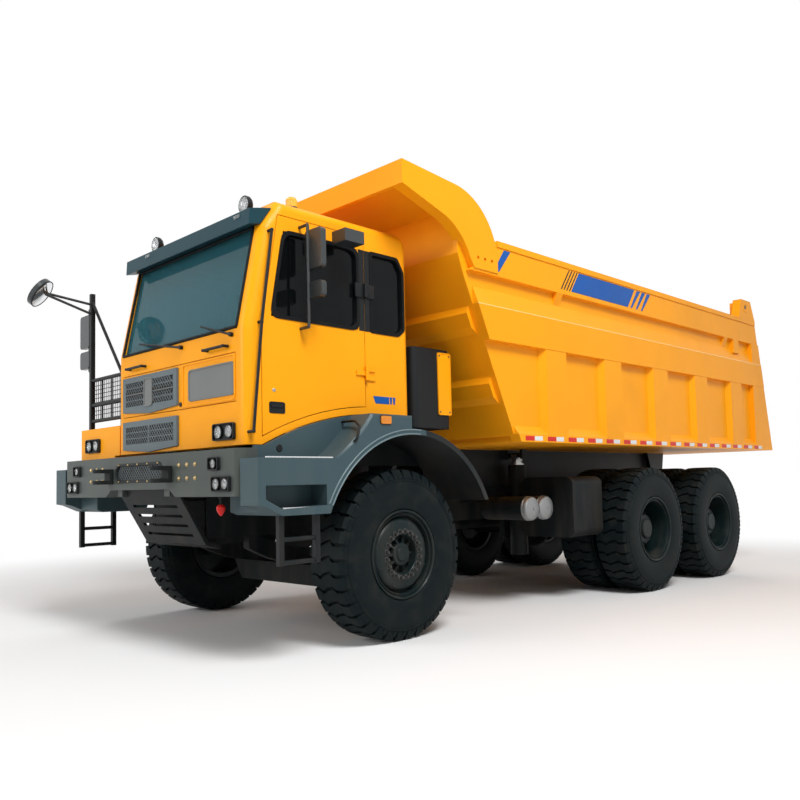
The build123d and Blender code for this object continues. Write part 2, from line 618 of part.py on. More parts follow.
# Bumper: an open-backed channel with a barred window in the middle.
BUMPER_BAR = 16.0
BUMPER_BARS = 9
with BuildPart() as bumper:
    back = BUMPER_X - BUMPER_DEPTH
    plan = [
        (BUMPER_X, -BUMPER_HALF + 60),
        (BUMPER_X, BUMPER_HALF - 60),
        (BUMPER_X - 60, BUMPER_HALF),
        (back, BUMPER_HALF),
        (back, -BUMPER_HALF),
        (BUMPER_X - 60, -BUMPER_HALF),
    ]
    prism(Plane.XY.offset(BUMPER_BOTTOM), plan, BUMPER_TOP - BUMPER_BOTTOM)
    block(
        (back, BUMPER_X - BUMPER_WALL),
        (-BUMPER_HALF + BUMPER_WALL, BUMPER_HALF - BUMPER_WALL),
        (BUMPER_BOTTOM + BUMPER_WALL, BUMPER_TOP - BUMPER_WALL),
        Mode.SUBTRACT,
    )
    block(
        (BUMPER_X - BUMPER_WALL, BUMPER_X),
        (-BUMPER_MESH_HALF, BUMPER_MESH_HALF),
        (BUMPER_MESH_LOW, BUMPER_MESH_HIGH),
        Mode.SUBTRACT,
    )
    notch_z = BUMPER_BOTTOM + NOTCH_RISE
    notch_top = SKID_HALF + RUN_GAP
    notch_low = notch_top + NOTCH_SLOPE
    left_notch = [(notch_top, notch_z), (notch_low, BUMPER_BOTTOM)]
    notch = [(-y, z) for y, z in reversed(left_notch)] + left_notch
    fold = [(y * (1 + BUMPER_WALL / notch_low), z + (z - BUMPER_BOTTOM) / 2) for y, z in reversed(notch)]
    prism(front_plane(back), notch + fold, BUMPER_DEPTH)
    prism(front_plane(back), notch, BUMPER_DEPTH, Mode.SUBTRACT)
    pitch = 2 * BUMPER_MESH_HALF / BUMPER_BARS
    for index in range(1, BUMPER_BARS):
        bar_y = -BUMPER_MESH_HALF + index * pitch
        block(
            (BUMPER_X - BUMPER_WALL, BUMPER_X - BUMPER_WALL / 2),
            (bar_y - BUMPER_BAR / 2, bar_y + BUMPER_BAR / 2),
            (BUMPER_MESH_LOW, BUMPER_MESH_HIGH),
        )
    for hand in SIDES:
        stay = sorted((hand * (RAIL_Y - RAIL_WIDTH / 2), hand * (RAIL_Y + RAIL_WIDTH / 2)))
        block((RAIL_FRONT_X - 200, BUMPER_X - BUMPER_WALL), stay, (RAIL_TOP, RAIL_TOP + 2 * BUMPER_WALL))
save(bumper.part, "bumper")

# Tow clevises on the bumper's face, each with an upright pin hole.
with BuildPart() as tow_clevises:
    for hand in SIDES:
        centre_y = hand * TOW_Y
        block(
            (BUMPER_X, BUMPER_X + TOW_EAR_THICK),
            (centre_y - TOW_REACH / 2, centre_y + TOW_REACH / 2),
            (TOW_Z - TOW_EAR_GAP / 2 - TOW_EAR_THICK, TOW_Z + TOW_EAR_GAP / 2 + TOW_EAR_THICK),
        )
        for low in (TOW_Z - TOW_EAR_GAP / 2 - TOW_EAR_THICK, TOW_Z + TOW_EAR_GAP / 2):
            block(
                (BUMPER_X + TOW_EAR_THICK, BUMPER_X + TOW_REACH),
                (centre_y - TOW_REACH / 2, centre_y + TOW_REACH / 2),
                (low, low + TOW_EAR_THICK),
            )
            bar(
                (BUMPER_X + TOW_REACH, centre_y, low),
                (BUMPER_X + TOW_REACH, centre_y, low + TOW_EAR_THICK),
                TOW_REACH / 2,
            )
        bar(
            (BUMPER_X + TOW_REACH, centre_y, TOW_Z - TOW_EAR_GAP),
            (BUMPER_X + TOW_REACH, centre_y, TOW_Z + TOW_EAR_GAP),
            TOW_BORE_RADIUS,
            Mode.SUBTRACT,
        )
save(tow_clevises.part, "tow_clevises")

# Skid plate: raked back under the bumper, slotted, with a flared lower lip.
SKID_TOP_X = FRONT_AXLE_X + 1560.0
SKID_LOW_X = FRONT_AXLE_X + 1270.0
SKID_LOW_Z = 870.0
SKID_THICK = 24.0
SKID_SLOTS = 4
with BuildPart() as skid_plate:
    skid_top = BUMPER_BOTTOM + NOTCH_RISE
    sheet = [
        (SKID_TOP_X, skid_top),
        (SKID_TOP_X + SKID_THICK, skid_top),
        (SKID_LOW_X + SKID_THICK, SKID_LOW_Z),
        (SKID_LOW_X - 120, SKID_LOW_Z - 40),
        (SKID_LOW_X - 120, SKID_LOW_Z - 40 + SKID_THICK),
        (SKID_LOW_X, SKID_LOW_Z + SKID_THICK),
    ]
    slab(sheet, SKID_HALF, -SKID_HALF)
    rake = (SKID_TOP_X - SKID_LOW_X) / (skid_top - SKID_LOW_Z)
    slot_pitch = (BUMPER_BOTTOM - SKID_LOW_Z) / (SKID_SLOTS + 1)
    for index in range(1, SKID_SLOTS + 1):
        slot_z = SKID_LOW_Z + index * slot_pitch
        slot_x = SKID_LOW_X + rake * (slot_z - SKID_LOW_Z)
        block(
            (slot_x - 3 * SKID_THICK, slot_x + 3 * SKID_THICK),
            (-SKID_HALF * 0.75, SKID_HALF * 0.75),
            (slot_z - SKID_THICK / 2, slot_z + SKID_THICK / 2),
            Mode.SUBTRACT,
        )
    add(bumper.part, mode=Mode.SUBTRACT)
save(skid_plate.part, "skid_plate")


def hump_outline(inset):
    """Side outline of the panel over the wheel, with its upper edge moved in by inset."""
    with BuildSketch() as outline:
        with BuildLine():
            sag = HUMP_CHAMFER + inset
            ThreePointArc(
                (SILL_X - inset, STEP_TOP_Z),
                ((SILL_X + HUMP_FRONT_X) / 2 - sag, (STEP_TOP_Z + HUMP_Z) / 2 - sag),
                (HUMP_FRONT_X - inset, HUMP_Z - inset),
            )
            Polyline(
                (HUMP_FRONT_X - inset, HUMP_Z - inset),
                (HUMP_REAR_X + inset, HUMP_Z - inset),
                (HUMP_REAR_X + inset, TYRE_RADIUS + ARCH_RADIUS),
                (SILL_X - inset, TYRE_RADIUS + ARCH_THICK),
                (SILL_X - inset, STEP_TOP_Z),
            )
        make_face()
    return outline.sketch


def fender():
    """Left fender: front box with two steps, the step well's wall, and the panel and arch over the wheel."""
    arch_centre = (FRONT_AXLE_X, TYRE_RADIUS)
    rim = ARCH_RADIUS + ARCH_THICK
    box_front = [
        (FENDER_FRONT_X, STEP_LOW_Z + 2 * HUMP_CHAMFER),
        (FENDER_FRONT_X, STEP_TOP_Z),
        (FRONT_AXLE_X + ARCH_RADIUS * 0.6, STEP_TOP_Z),
        (FRONT_AXLE_X + ARCH_RADIUS * 0.9, STEP_LOW_Z - ARCH_THICK),
        (POCKET_FRONT_X - POCKET_CUT, STEP_LOW_Z - ARCH_THICK),
        (POCKET_FRONT_X, STEP_LOW_Z + HUMP_CHAMFER),
    ]
    slab(box_front, FENDER_OUTER_Y, FENDER_INNER_Y)
    hump_face = lifted(hump_outline(HUMP_CHAMFER), FENDER_OUTER_Y)
    hump_edge = lifted(hump_outline(0), FENDER_OUTER_Y - HUMP_CHAMFER)
    extrude(hump_edge, amount=FENDER_OUTER_Y - HUMP_CHAMFER - CAB_LEFT)
    loft([hump_face, hump_edge], ruled=True)
    with BuildSketch() as well:
        with BuildLine():
            Polyline(
                (DOOR_REAR_X, CAB_HEEL_Z - RUN_GAP),
                (HUMP_REAR_X, CAB_HEEL_Z - RUN_GAP),
                (HUMP_REAR_X, TYRE_RADIUS + ARCH_RADIUS),
                (SILL_X, TYRE_RADIUS + ARCH_THICK),
                (SILL_X, STEP_TOP_Z - RUN_GAP),
                (FENDER_FRONT_X, STEP_TOP_Z - RUN_GAP),
                (FENDER_FRONT_X, CAB_BOTTOM - RUN_GAP),
                (DOOR_FRONT_X, CAB_BOTTOM - RUN_GAP),
            )
            ThreePointArc(
                (DOOR_FRONT_X, CAB_BOTTOM - RUN_GAP),
                (
                    (DOOR_FRONT_X + DOOR_REAR_X) / 2,
                    (CAB_BOTTOM + CAB_HEEL_Z) / 2 + DOOR_SILL_RISE - RUN_GAP,
                ),
                (DOOR_REAR_X, CAB_HEEL_Z - RUN_GAP),
            )
        make_face()
    extrude(lifted(well.sketch, CAB_LEFT + WELL_WALL), amount=WELL_WALL)
    with BuildSketch(side_plane(FENDER_OUTER_Y)) as strip:
        with Locations(arch_centre):
            Circle(rim)
        with Locations((FRONT_AXLE_X + rim / 4, STEP_LOW_Z + rim / 2)):
            Rectangle(3 * rim, rim, mode=Mode.INTERSECT)
    extrude(strip.sketch, amount=FENDER_OUTER_Y - FENDER_INNER_Y)
    with BuildSketch(side_plane(FENDER_OUTER_Y + RUN_GAP)) as arch:
        with Locations(arch_centre):
            Circle(ARCH_RADIUS)
    extrude(arch.sketch, amount=FENDER_OUTER_Y - FENDER_INNER_Y + 2 * RUN_GAP, mode=Mode.SUBTRACT)
    pocket = [
        (POCKET_REAR_X, POCKET_TOP_Z),
        (POCKET_FRONT_X, POCKET_TOP_Z),
        (POCKET_FRONT_X, STEP_LOW_Z + POCKET_CUT / 2),
        (POCKET_FRONT_X - POCKET_CUT, STEP_LOW_Z),
        (POCKET_REAR_X, STEP_LOW_Z + HUMP_CHAMFER),
    ]
    slab(pocket, FENDER_OUTER_Y, FENDER_OUTER_Y - STEP_DEPTH, Mode.SUBTRACT)
    block((BUMPER_X - BUMPER_DEPTH, BUMPER_X), (0, BUMPER_HALF), (0, CAB_ROOF), Mode.SUBTRACT)


# Fenders: the right one mirrors the left.
with BuildPart() as fenders:
    fender()
    mirror(about=Plane.XZ)
save(fenders.part, "fenders")

# Right walkway: a front box under a deck plate, beside the cab.
DECK_Z = 1975.0
DECK_RIGHT = -1490.0
DECK_THICK = 40.0
DECK_FRONT_X = CAB_FRONT - 20.0
DECK_BOX_X = FRONT_AXLE_X + 1110.0
DECK_STAY_X = FRONT_AXLE_X + 40.0
with BuildPart() as deck_right:
    block((DECK_BOX_X, DECK_FRONT_X), (DECK_RIGHT, CAB_RIGHT), (CAB_BOTTOM, DECK_Z))
    block((CAB_REAR, DECK_FRONT_X), (DECK_RIGHT, CAB_RIGHT), (DECK_Z - DECK_THICK, DECK_Z))
    foot = TYRE_RADIUS + ARCH_RADIUS + ARCH_THICK
    block((DECK_STAY_X - 40, DECK_STAY_X), (DECK_RIGHT, CAB_RIGHT), (foot, DECK_Z))
    block((DECK_BOX_X, DECK_FRONT_X), (DECK_RIGHT, CAB_RIGHT - 100), (BUMPER_TOP, CAB_BOTTOM))
save(deck_right.part, "deck_right")

# Tube work: walkway railing with the mirror post, and the hanging ladders.
TUBE = 22.0
POST_X = DECK_FRONT_X - 60.0
POST_Y = -1380.0
POST_TOP = WINDOW_TOP_Z - 35.0
RAIL_Z = DECK_Z + 0.36 * (POST_TOP - DECK_Z)
LADDER_Y = FENDER_OUTER_Y - 70.0
LADDER_XS = (FRONT_AXLE_X + 1055.0, FRONT_AXLE_X + 1400.0)
LADDER_TOP = 1160.0
LADDER_LOW = 770.0
with BuildPart() as tube_work:
    block((POST_X - TUBE, POST_X + TUBE), (POST_Y - TUBE, POST_Y + TUBE), (DECK_Z, POST_TOP))
    inner_y = CAB_RIGHT - 60
    for z in (DECK_Z + 90, (DECK_Z + RAIL_Z) / 2, RAIL_Z):
        bar((POST_X, POST_Y, z), (POST_X, inner_y, z), 0.85 * TUBE)
        bar((CAB_REAR + 60, POST_Y, z), (DOOR_REAR_X - 60, POST_Y, z), 0.85 * TUBE)
    bar((POST_X, inner_y, DECK_Z), (POST_X, inner_y, RAIL_Z + TUBE), TUBE)
    bar((POST_X, POST_Y, POST_TOP - 80), (POST_X, inner_y, RAIL_Z - TUBE / 2), 0.7 * TUBE)
    for x in (CAB_REAR + 60, DOOR_REAR_X - 60):
        bar((x, POST_Y, DECK_Z), (x, POST_Y, RAIL_Z + TUBE), TUBE)
    for hand in SIDES:
        for x in LADDER_XS:
            rail_ys = (hand * (LADDER_Y - TUBE), hand * (LADDER_Y + TUBE))
            block((x - TUBE, x + TUBE), rail_ys, (LADDER_LOW, LADDER_TOP))
        for z in (LADDER_LOW + TUBE, (LADDER_LOW + LADDER_TOP) / 2):
            bar((LADDER_XS[0], hand * LADDER_Y, z), (LADDER_XS[1], hand * LADDER_Y, z), 0.8 * TUBE)
    add(fenders.part, mode=Mode.SUBTRACT)
save(tube_work.part, "tube_work")

# Right mirrors: two flat heads outside the post and a round one out in front.
HEAD_THICK = 50.0
HEAD_WIDTH = 210.0
ROUND_RADIUS = 150.0
ROUND_LEAN = Vector(-0.62, 0.5, -0.6).normalized()
ROUND_X = FRONT_AXLE_X + FRONT_REACH - ROUND_RADIUS * math.sqrt(1 - ROUND_LEAN.X**2)
ROUND_Z = POST_TOP - 50.0
ARM = 13.0
HEAD_CORNER = 32.0


def mirror_head(x, y_mid, z_low, z_high):
    """Flat mirror head with rounded corners, with its back at x."""
    with BuildSketch(front_plane(x)) as outline:
        with Locations((y_mid, (z_low + z_high) / 2)):
            RectangleRounded(HEAD_WIDTH, z_high - z_low, HEAD_CORNER)
    extrude(outline.sketch, amount=HEAD_THICK)


with BuildPart() as mirrors_right:
    arm_y = POST_Y - TUBE
    head_y = arm_y - 60
    post_rise = POST_TOP - RAIL_Z
    for low_share, high_share in ((0.40, 0.78), (0.16, 0.36)):
        z_low = RAIL_Z + low_share * post_rise
        z_high = RAIL_Z + high_share * post_rise
        mirror_head(POST_X - HEAD_THICK, head_y - HEAD_WIDTH / 2, z_low, z_high)
    stay_y = head_y - HEAD_CORNER
    stay_zs = (RAIL_Z + 0.13 * post_rise, RAIL_Z + 0.84 * post_rise)
    bar((POST_X - TUBE, stay_y, stay_zs[0]), (POST_X - TUBE, stay_y, stay_zs[1]), ARM)
    for z in stay_zs:
        bar((POST_X - TUBE, arm_y, z), (POST_X - TUBE, stay_y, z), ARM)
    for z in (ROUND_Z - 60, ROUND_Z - 160):
        bar((POST_X, POST_Y, z), (ROUND_X, POST_Y, ROUND_Z), ARM)
    tilt = Plane(origin=(ROUND_X, POST_Y, ROUND_Z), z_dir=ROUND_LEAN)
    with BuildSketch(tilt) as face:
        Circle(ROUND_RADIUS)
    extrude(face.sketch, amount=HEAD_THICK)
    add(tube_work.part, mode=Mode.SUBTRACT)
save(mirrors_right.part, "mirrors_right")

# Cab shell: the side outline carried across, rounded, hollowed and then split into panels.
with BuildPart() as cab_shell:
    extrude(lifted(cab_side(0), CAB_LEFT), amount=CAB_LEFT - CAB_RIGHT)
    nape = [e for e in edges() if e.center().Z > CAB_ROOF - 1 and e.center().X < CAB_REAR + 1]
    fillet(nape, radius=CAB_NAPE)
    rounded = [e for e in edges() if e.center().Z > CAB_HEEL_Z + CAB_WALL and abs(e.tangent_at(0.5).Y) < 0.5]
    fillet(rounded, radius=CAB_CORNER)
    extrude(
        lifted(cab_side(CAB_WALL), CAB_LEFT - CAB_WALL),
        amount=CAB_LEFT - CAB_RIGHT - 2 * CAB_WALL,
        mode=Mode.SUBTRACT,
    )
CAB_MID = (CAB_LEFT + CAB_RIGHT) / 2
CAB_MIRROR = Plane.XZ.offset(-CAB_MID)
CAB_CENTRE_YS = (CAB_RIGHT + CAB_PILLAR, CAB_LEFT - CAB_PILLAR)
FAR = 10000.0


def cab_panel(xs, ys, zs):
    """Part of the cab shell inside a box."""
    add(cab_shell.part)
    block(xs, ys, zs, Mode.INTERSECT)


QUARTER = [
    (CAB_REAR + FRAME_BAR, BELT_Z + 60),
    (CAB_REAR + FRAME_BAR, WINDOW_TOP_Z - 120),
    (CAB_REAR + 2 * FRAME_BAR, WINDOW_TOP_Z),
    (DOOR_REAR_X - FRAME_BAR, WINDOW_TOP_Z),
    (DOOR_REAR_X - FRAME_BAR, BELT_Z),
    (CAB_REAR + 2 * FRAME_BAR, BELT_Z),
]
DOOR_RAKE = SCREEN_RAKE * (WINDOW_TOP_Z - BELT_Z) / (DOOR_TOP_Z - SCREEN_LOW_Z)
DOOR_PANE = [
    (DOOR_REAR_X + FRAME_BAR, BELT_Z),
    (DOOR_REAR_X + FRAME_BAR, WINDOW_TOP_Z),
    (DOOR_FRONT_X - 1.3 * FRAME_BAR - DOOR_RAKE, WINDOW_TOP_Z),
    (DOOR_FRONT_X - 1.3 * FRAME_BAR, BELT_Z),
]
PANE_LEFT = CAB_LEFT - CAB_WALL / 2 + GLASS_THICK / 2
PANE_RIGHT = PANE_LEFT - GLASS_THICK

HINGE_X = DOOR_REAR_X + RUN_GAP / 2


def hinge_half(z_low, z_high, reach):
    """Leaf and knuckle of a door hinge on the left wall, with the leaf reaching along x."""
    leaf = (HINGE_X + math.copysign(RUN_GAP / 2, reach), HINGE_X + reach)
    block(leaf, (CAB_LEFT, CAB_LEFT + HINGE_LEAF), (z_low, z_high))
    axis = [(HINGE_X, CAB_LEFT + HINGE_OUT, z) for z in (z_low, z_high)]
    bar(*axis, HINGE_RADIUS)


def cab_wall(door_low):
    """Left wall of the cab with its quarter window and a door opening above door_low."""
    cab_panel((-FAR, FAR), (CAB_LEFT - CAB_PILLAR, FAR), (0, FAR))
    opening = lifted(door_outline(0, door_low), CAB_LEFT + RUN_GAP)
    extrude(opening, amount=CAB_PILLAR + 2 * RUN_GAP, mode=Mode.SUBTRACT)
    slab(QUARTER, CAB_LEFT + RUN_GAP, CAB_LEFT - CAB_PILLAR - RUN_GAP, Mode.SUBTRACT)
    for z in HINGE_ZS:
        hinge_half(z - HINGE_HALF, z - HINGE_HALF / 3, -HINGE_REACH)
        hinge_half(z + HINGE_HALF / 3, z + HINGE_HALF, -HINGE_REACH)


def door(low):
    """Left door above low, as thick as the wall, with its window cut."""
    add(cab_shell.part)
    leaf = lifted(door_outline(RUN_GAP, low), CAB_LEFT)
    extrude(leaf, amount=CAB_WALL, mode=Mode.INTERSECT)
    slab(DOOR_PANE, CAB_LEFT, CAB_LEFT - CAB_WALL, Mode.SUBTRACT)
    for z in HINGE_ZS:
        hinge_half(z - HINGE_HALF / 3 + SEAT_GAP, z + HINGE_HALF / 3 - SEAT_GAP, HINGE_REACH)


# Cab sides: pillars, roof rails and rear quarters round the door openings.
with BuildPart() as cab_right_wall:
    cab_wall(DECK_Z)
    mirror(about=CAB_MIRROR, mode=Mode.REPLACE)
with BuildPart() as cab_sides:
    cab_wall(0)
    add(cab_right_wall.part)
save(cab_sides.part, "cab_sides")

# Cab floor with the raised toe board behind the front panel.
FRONT_INNER_X = CAB_FRONT - CAB_WALL
REAR_INNER_X = CAB_REAR + CAB_WALL
with BuildPart() as cab_floor:
    cab_panel((REAR_INNER_X, FRONT_INNER_X), CAB_CENTRE_YS, (0, SCREEN_LOW_Z))
save(cab_floor.part, "cab_floor")

# Cab front panel with the opening for the flap.
with BuildPart() as cab_front:
    cab_panel((FRONT_INNER_X, FAR), CAB_CENTRE_YS, (0, SCREEN_LOW_Z))
    block((FRONT_INNER_X, CAB_FRONT), (FLAP_RIGHT_Y, FLAP_LEFT_Y), (FLAP_LOW_Z, FLAP_HIGH_Z), Mode.SUBTRACT)
save(cab_front.part, "cab_front")

# Cab rear wall with its window.
REAR_PANE_YS = (CAB_RIGHT + 3 * CAB_PILLAR, CAB_LEFT - 3 * CAB_PILLAR)
with BuildPart() as cab_rear:
    cab_panel((-FAR, REAR_INNER_X), CAB_CENTRE_YS, (0, SCREEN_HIGH_Z))
    block((CAB_REAR, REAR_INNER_X), REAR_PANE_YS, (BELT_Z, WINDOW_TOP_Z - 60), Mode.SUBTRACT)
save(cab_rear.part, "cab_rear")

# Cab roof with the header over the windscreen.
with BuildPart() as cab_roof:
    cab_panel((-FAR, FAR), CAB_CENTRE_YS, (SCREEN_HIGH_Z, FAR))
save(cab_roof.part, "cab_roof")

# Fixed glass: windscreen, quarter panes and rear pane.
with BuildPart() as cab_glass:
    inset = CAB_WALL / 3
    screen = [
        (CAB_FRONT - inset, SCREEN_LOW_Z),
        (CAB_FRONT - inset - SCREEN_RAKE, SCREEN_HIGH_Z),
        (CAB_FRONT - inset - SCREEN_RAKE - GLASS_THICK, SCREEN_HIGH_Z),
        (CAB_FRONT - inset - GLASS_THICK, SCREEN_LOW_Z),
    ]
    slab(screen, CAB_CENTRE_YS[1], CAB_CENTRE_YS[0])
    slab(QUARTER, PANE_LEFT, PANE_RIGHT, Mode.ADD)
    slab(QUARTER, 2 * CAB_MID - PANE_RIGHT, 2 * CAB_MID - PANE_LEFT, Mode.ADD)
    pane_x = CAB_REAR + CAB_WALL / 2
    block((pane_x, pane_x + GLASS_THICK), REAR_PANE_YS, (BELT_Z, WINDOW_TOP_Z - 60))
save(cab_glass.part, "cab_glass")

# Side doors, hung at their rear edges, each with its pane.
with BuildPart() as door_left:
    door(0)
save(door_left.part, "door_left")
with BuildPart() as door_left_glass:
    slab(DOOR_PANE, PANE_LEFT, PANE_RIGHT, Mode.ADD)
save(door_left_glass.part, "door_left_glass")
with BuildPart() as door_right:
    door(DECK_Z)
    mirror(about=CAB_MIRROR, mode=Mode.REPLACE)
save(door_right.part, "door_right")
with BuildPart() as door_right_glass:
    slab(DOOR_PANE, 2 * CAB_MID - PANE_RIGHT, 2 * CAB_MID - PANE_LEFT, Mode.ADD)
save(door_right_glass.part, "door_right_glass")

# Left mirrors, carried by the left door: a tall head, a small one and a hooded kerb mirror.
STALK_X = FRONT_AXLE_X + 1000.0
STALK_Y = CAB_LEFT + 110.0
STALK_LOW = BELT_Z - 70.0
STALK_HIGH = WINDOW_TOP_Z + 60.0
KERB_X = FRONT_AXLE_X + 620.0
with BuildPart() as mirrors_left:
    bar((STALK_X, STALK_Y, STALK_LOW), (STALK_X, STALK_Y, STALK_HIGH), ARM)
    for z in (STALK_LOW, STALK_HIGH):
        bar((STALK_X, CAB_LEFT, z), (STALK_X, STALK_Y, z), ARM)
    for low_share, high_share in ((0.56, 1.015), (0.225, 0.41)):
        z_low = BELT_Z + low_share * WINDOW_RISE
        z_high = BELT_Z + high_share * WINDOW_RISE
        mirror_head(STALK_X - HEAD_THICK, STALK_Y - 40 + HEAD_WIDTH / 2, z_low, z_high)
    bar((KERB_X, CAB_LEFT, STALK_HIGH), (KERB_X, STALK_Y + HEAD_WIDTH / 3, STALK_HIGH), ARM)
    hood = (STALK_HIGH - 105, STALK_HIGH)
    block((KERB_X - HEAD_WIDTH / 2, KERB_X + HEAD_WIDTH / 2), (STALK_Y - 20, STALK_Y + HEAD_WIDTH - 60), hood)
save(mirrors_left.part, "mirrors_left")

# Front flap, hung at its top edge, with the barred upper grille on its face.
GRILLE_THICK = 22.0
GRILLE_HALF = 490.0
GRILLE_FRAME = 46.0
GRILLE_BAR = 12.0
GRILLE_CHEVRON = 32.0


def grille(low, high, columns, bars):
    """Grey frame on the cab's face, with rows of bars in each opening."""
    face = (CAB_FRONT, CAB_FRONT + GRILLE_THICK)
    outline = [(-GRILLE_HALF, high), (-GRILLE_HALF, low), (0, low - GRILLE_CHEVRON), (GRILLE_HALF, low)]
    prism(front_plane(CAB_FRONT), outline + [(GRILLE_HALF, high)], GRILLE_THICK)
    opening = 2 * (GRILLE_HALF - GRILLE_FRAME) / columns
    slot = (high - low - 2 * GRILLE_FRAME) / bars - GRILLE_BAR
    for column in range(columns):
        left = GRILLE_FRAME - GRILLE_HALF + column * opening
        for row in range(bars):
            slot_low = low + GRILLE_FRAME + row * (slot + GRILLE_BAR) + GRILLE_BAR / 2
            slot_ys = (left + GRILLE_BAR, left + opening - GRILLE_BAR)
            block(face, slot_ys, (slot_low, slot_low + slot), Mode.SUBTRACT)


with BuildPart() as front_flap:
    block(
        (FRONT_INNER_X, CAB_FRONT),
        (FLAP_RIGHT_Y + RUN_GAP, FLAP_LEFT_Y - RUN_GAP),
        (FLAP_LOW_Z + RUN_GAP, FLAP_HIGH_Z - RUN_GAP),
    )
save(front_flap.part, "front_flap")
with BuildPart() as grille_upper:
    grille(FLAP_LOW_Z + GRILLE_CHEVRON + 2 * RUN_GAP, FLAP_HIGH_Z - 25, 2, 4)
save(grille_upper.part, "grille_upper")
with BuildPart() as grille_lower:
    grille(CAB_BOTTOM + GRILLE_CHEVRON + RUN_GAP, FLAP_LOW_Z - 45, 2, 3)
save(grille_lower.part, "grille_lower")

# Handles and wipers: a grab rail up the left pillar, two handles over the flap and two wiper arms.
GRAB = 12.0
GRAB_KNEE = 15.0
GRAB_OUT = 45.0
GRAB_ZS = (CAB_BOTTOM + 98.0, SCREEN_LOW_Z + 33.0, SCREEN_HIGH_Z - 50.0)
GRAB_XS = (CAB_FRONT - 33.0, CAB_FRONT - 118.0, CAB_FRONT - 223.0)
HANDLE_YS = ((-374.0, -85.0), (961.0, 1254.0))
HANDLE_Z = FLAP_HIGH_Z + 55.0
WIPER_SPANS = ((549.0, -198.0), (1311.0, 855.0))
WIPER_ZS = (SCREEN_LOW_Z - 50.0, SCREEN_LOW_Z + 82.0)
WIPER = 9.0
with BuildPart() as cab_handles:
    rail_y = CAB_LEFT + GRAB_OUT
    knees = [(x, rail_y, z) for x, z in zip(GRAB_XS, GRAB_ZS)]
    for start, end in zip(knees, knees[1:]):
        bar(start, end, GRAB)
    for x, y, z in knees:
        with Locations((x, y, z)):
            Sphere(GRAB_KNEE)
        bar((x, CAB_LEFT - CAB_CORNER / 2, z), (x, y, z), GRAB)
    for span in HANDLE_YS:
        bar((CAB_FRONT + GRAB_OUT, span[0], HANDLE_Z), (CAB_FRONT + GRAB_OUT, span[1], HANDLE_Z), GRAB)
        for y in span:
            bar((CAB_FRONT, y, HANDLE_Z), (CAB_FRONT + GRAB_OUT + GRAB, y, HANDLE_Z), GRAB)
    for root_y, tip_y in WIPER_SPANS:
        bar((CAB_FRONT, root_y, WIPER_ZS[0]), (CAB_FRONT + 3 * WIPER, root_y, WIPER_ZS[0]), 2 * WIPER)
        bar((CAB_FRONT + 2 * WIPER, root_y, WIPER_ZS[0]), (CAB_FRONT, tip_y, WIPER_ZS[1]), WIPER)
    add(cab_shell.part, mode=Mode.SUBTRACT)
save(cab_handles.part, "cab_handles")

# Sun visor on the roof's front slope.
with BuildPart() as visor:
    slope = (CAB_FRONT - SCREEN_RAKE - ROOF_CROWN_X) / (CAB_ROOF - SCREEN_HIGH_Z)
    visor_low = SCREEN_HIGH_Z + 10
    visor_high = CAB_ROOF - 70
    brow = CAB_FRONT - SCREEN_RAKE + 105
    section = [
        (CAB_FRONT - SCREEN_RAKE - slope * (visor_low - SCREEN_HIGH_Z), visor_low),
        (brow, visor_low - 25),
        (brow - 8, visor_low + 105),
        (CAB_FRONT - SCREEN_RAKE - slope * (visor_high - SCREEN_HIGH_Z), visor_high),
    ]
    slab(section, CAB_LEFT - 40, CAB_RIGHT + 40)
save(visor.part, "visor")

# Lamps: headlamp pairs, bumper lamps, roof spots and tail lamps.
LAMP_DEPTH = 26.0
HEADLAMP_YS = (1050.0, 1350.0)
HEADLAMP_ZS = (CAB_BOTTOM + 45.0, CAB_BOTTOM + 180.0)
FOG_YS = (1180.0, 1300.0)
FOG_ZS = (1510.0, 1590.0)
TWIN_YS = (1230.0, 1450.0)
TWIN_ZS = (1345.0, 1440.0)
SPOT_RADIUS = 75.0
SPOT_YS = (1200.0, -270.0)
with BuildPart() as lamps:
    for hand, face in ((1, CAB_FRONT), (-1, DECK_FRONT_X)):
        ys = [hand * y for y in HEADLAMP_YS]
        block((face, face + LAMP_DEPTH), ys, HEADLAMP_ZS)
        for span, heights in ((FOG_YS, FOG_ZS), (TWIN_YS, TWIN_ZS)):
            block((BUMPER_X, BUMPER_X + LAMP_DEPTH), [hand * y for y in span], heights)
        tail_x = RAIL_REAR_X - TAIL_BAR
        tail_ys = (hand * (TAIL_BAR_HALF - 300), hand * (TAIL_BAR_HALF - 40))
        tail_low = RAIL_TOP - RAIL_HEIGHT + 30
        block((tail_x - LAMP_DEPTH, tail_x), tail_ys, (tail_low, tail_low + 120))
    for y in SPOT_YS:
        spot_z = visor_high + SPOT_RADIUS
        spot_x = ROOF_CROWN_X + 70
        bar((spot_x, y, spot_z), (spot_x + SPOT_RADIUS, y, spot_z), SPOT_RADIUS)
        block((spot_x, spot_x + 30), (y - 20, y + 20), (visor_low + 105, spot_z))
    add(visor.part, mode=Mode.SUBTRACT)
    add(cab_roof.part, mode=Mode.SUBTRACT)
save(lamps.part, "lamps")

# Amber beacon near the roof's left edge.
BEACON_RADIUS = 55.0
with BuildPart() as beacon:
    foot = (FRONT_AXLE_X + 960, CAB_LEFT - 150, CAB_ROOF)
    bar(foot, (foot[0], foot[1], CAB_ROOF + 115), BEACON_RADIUS)
save(beacon.part, "beacon")

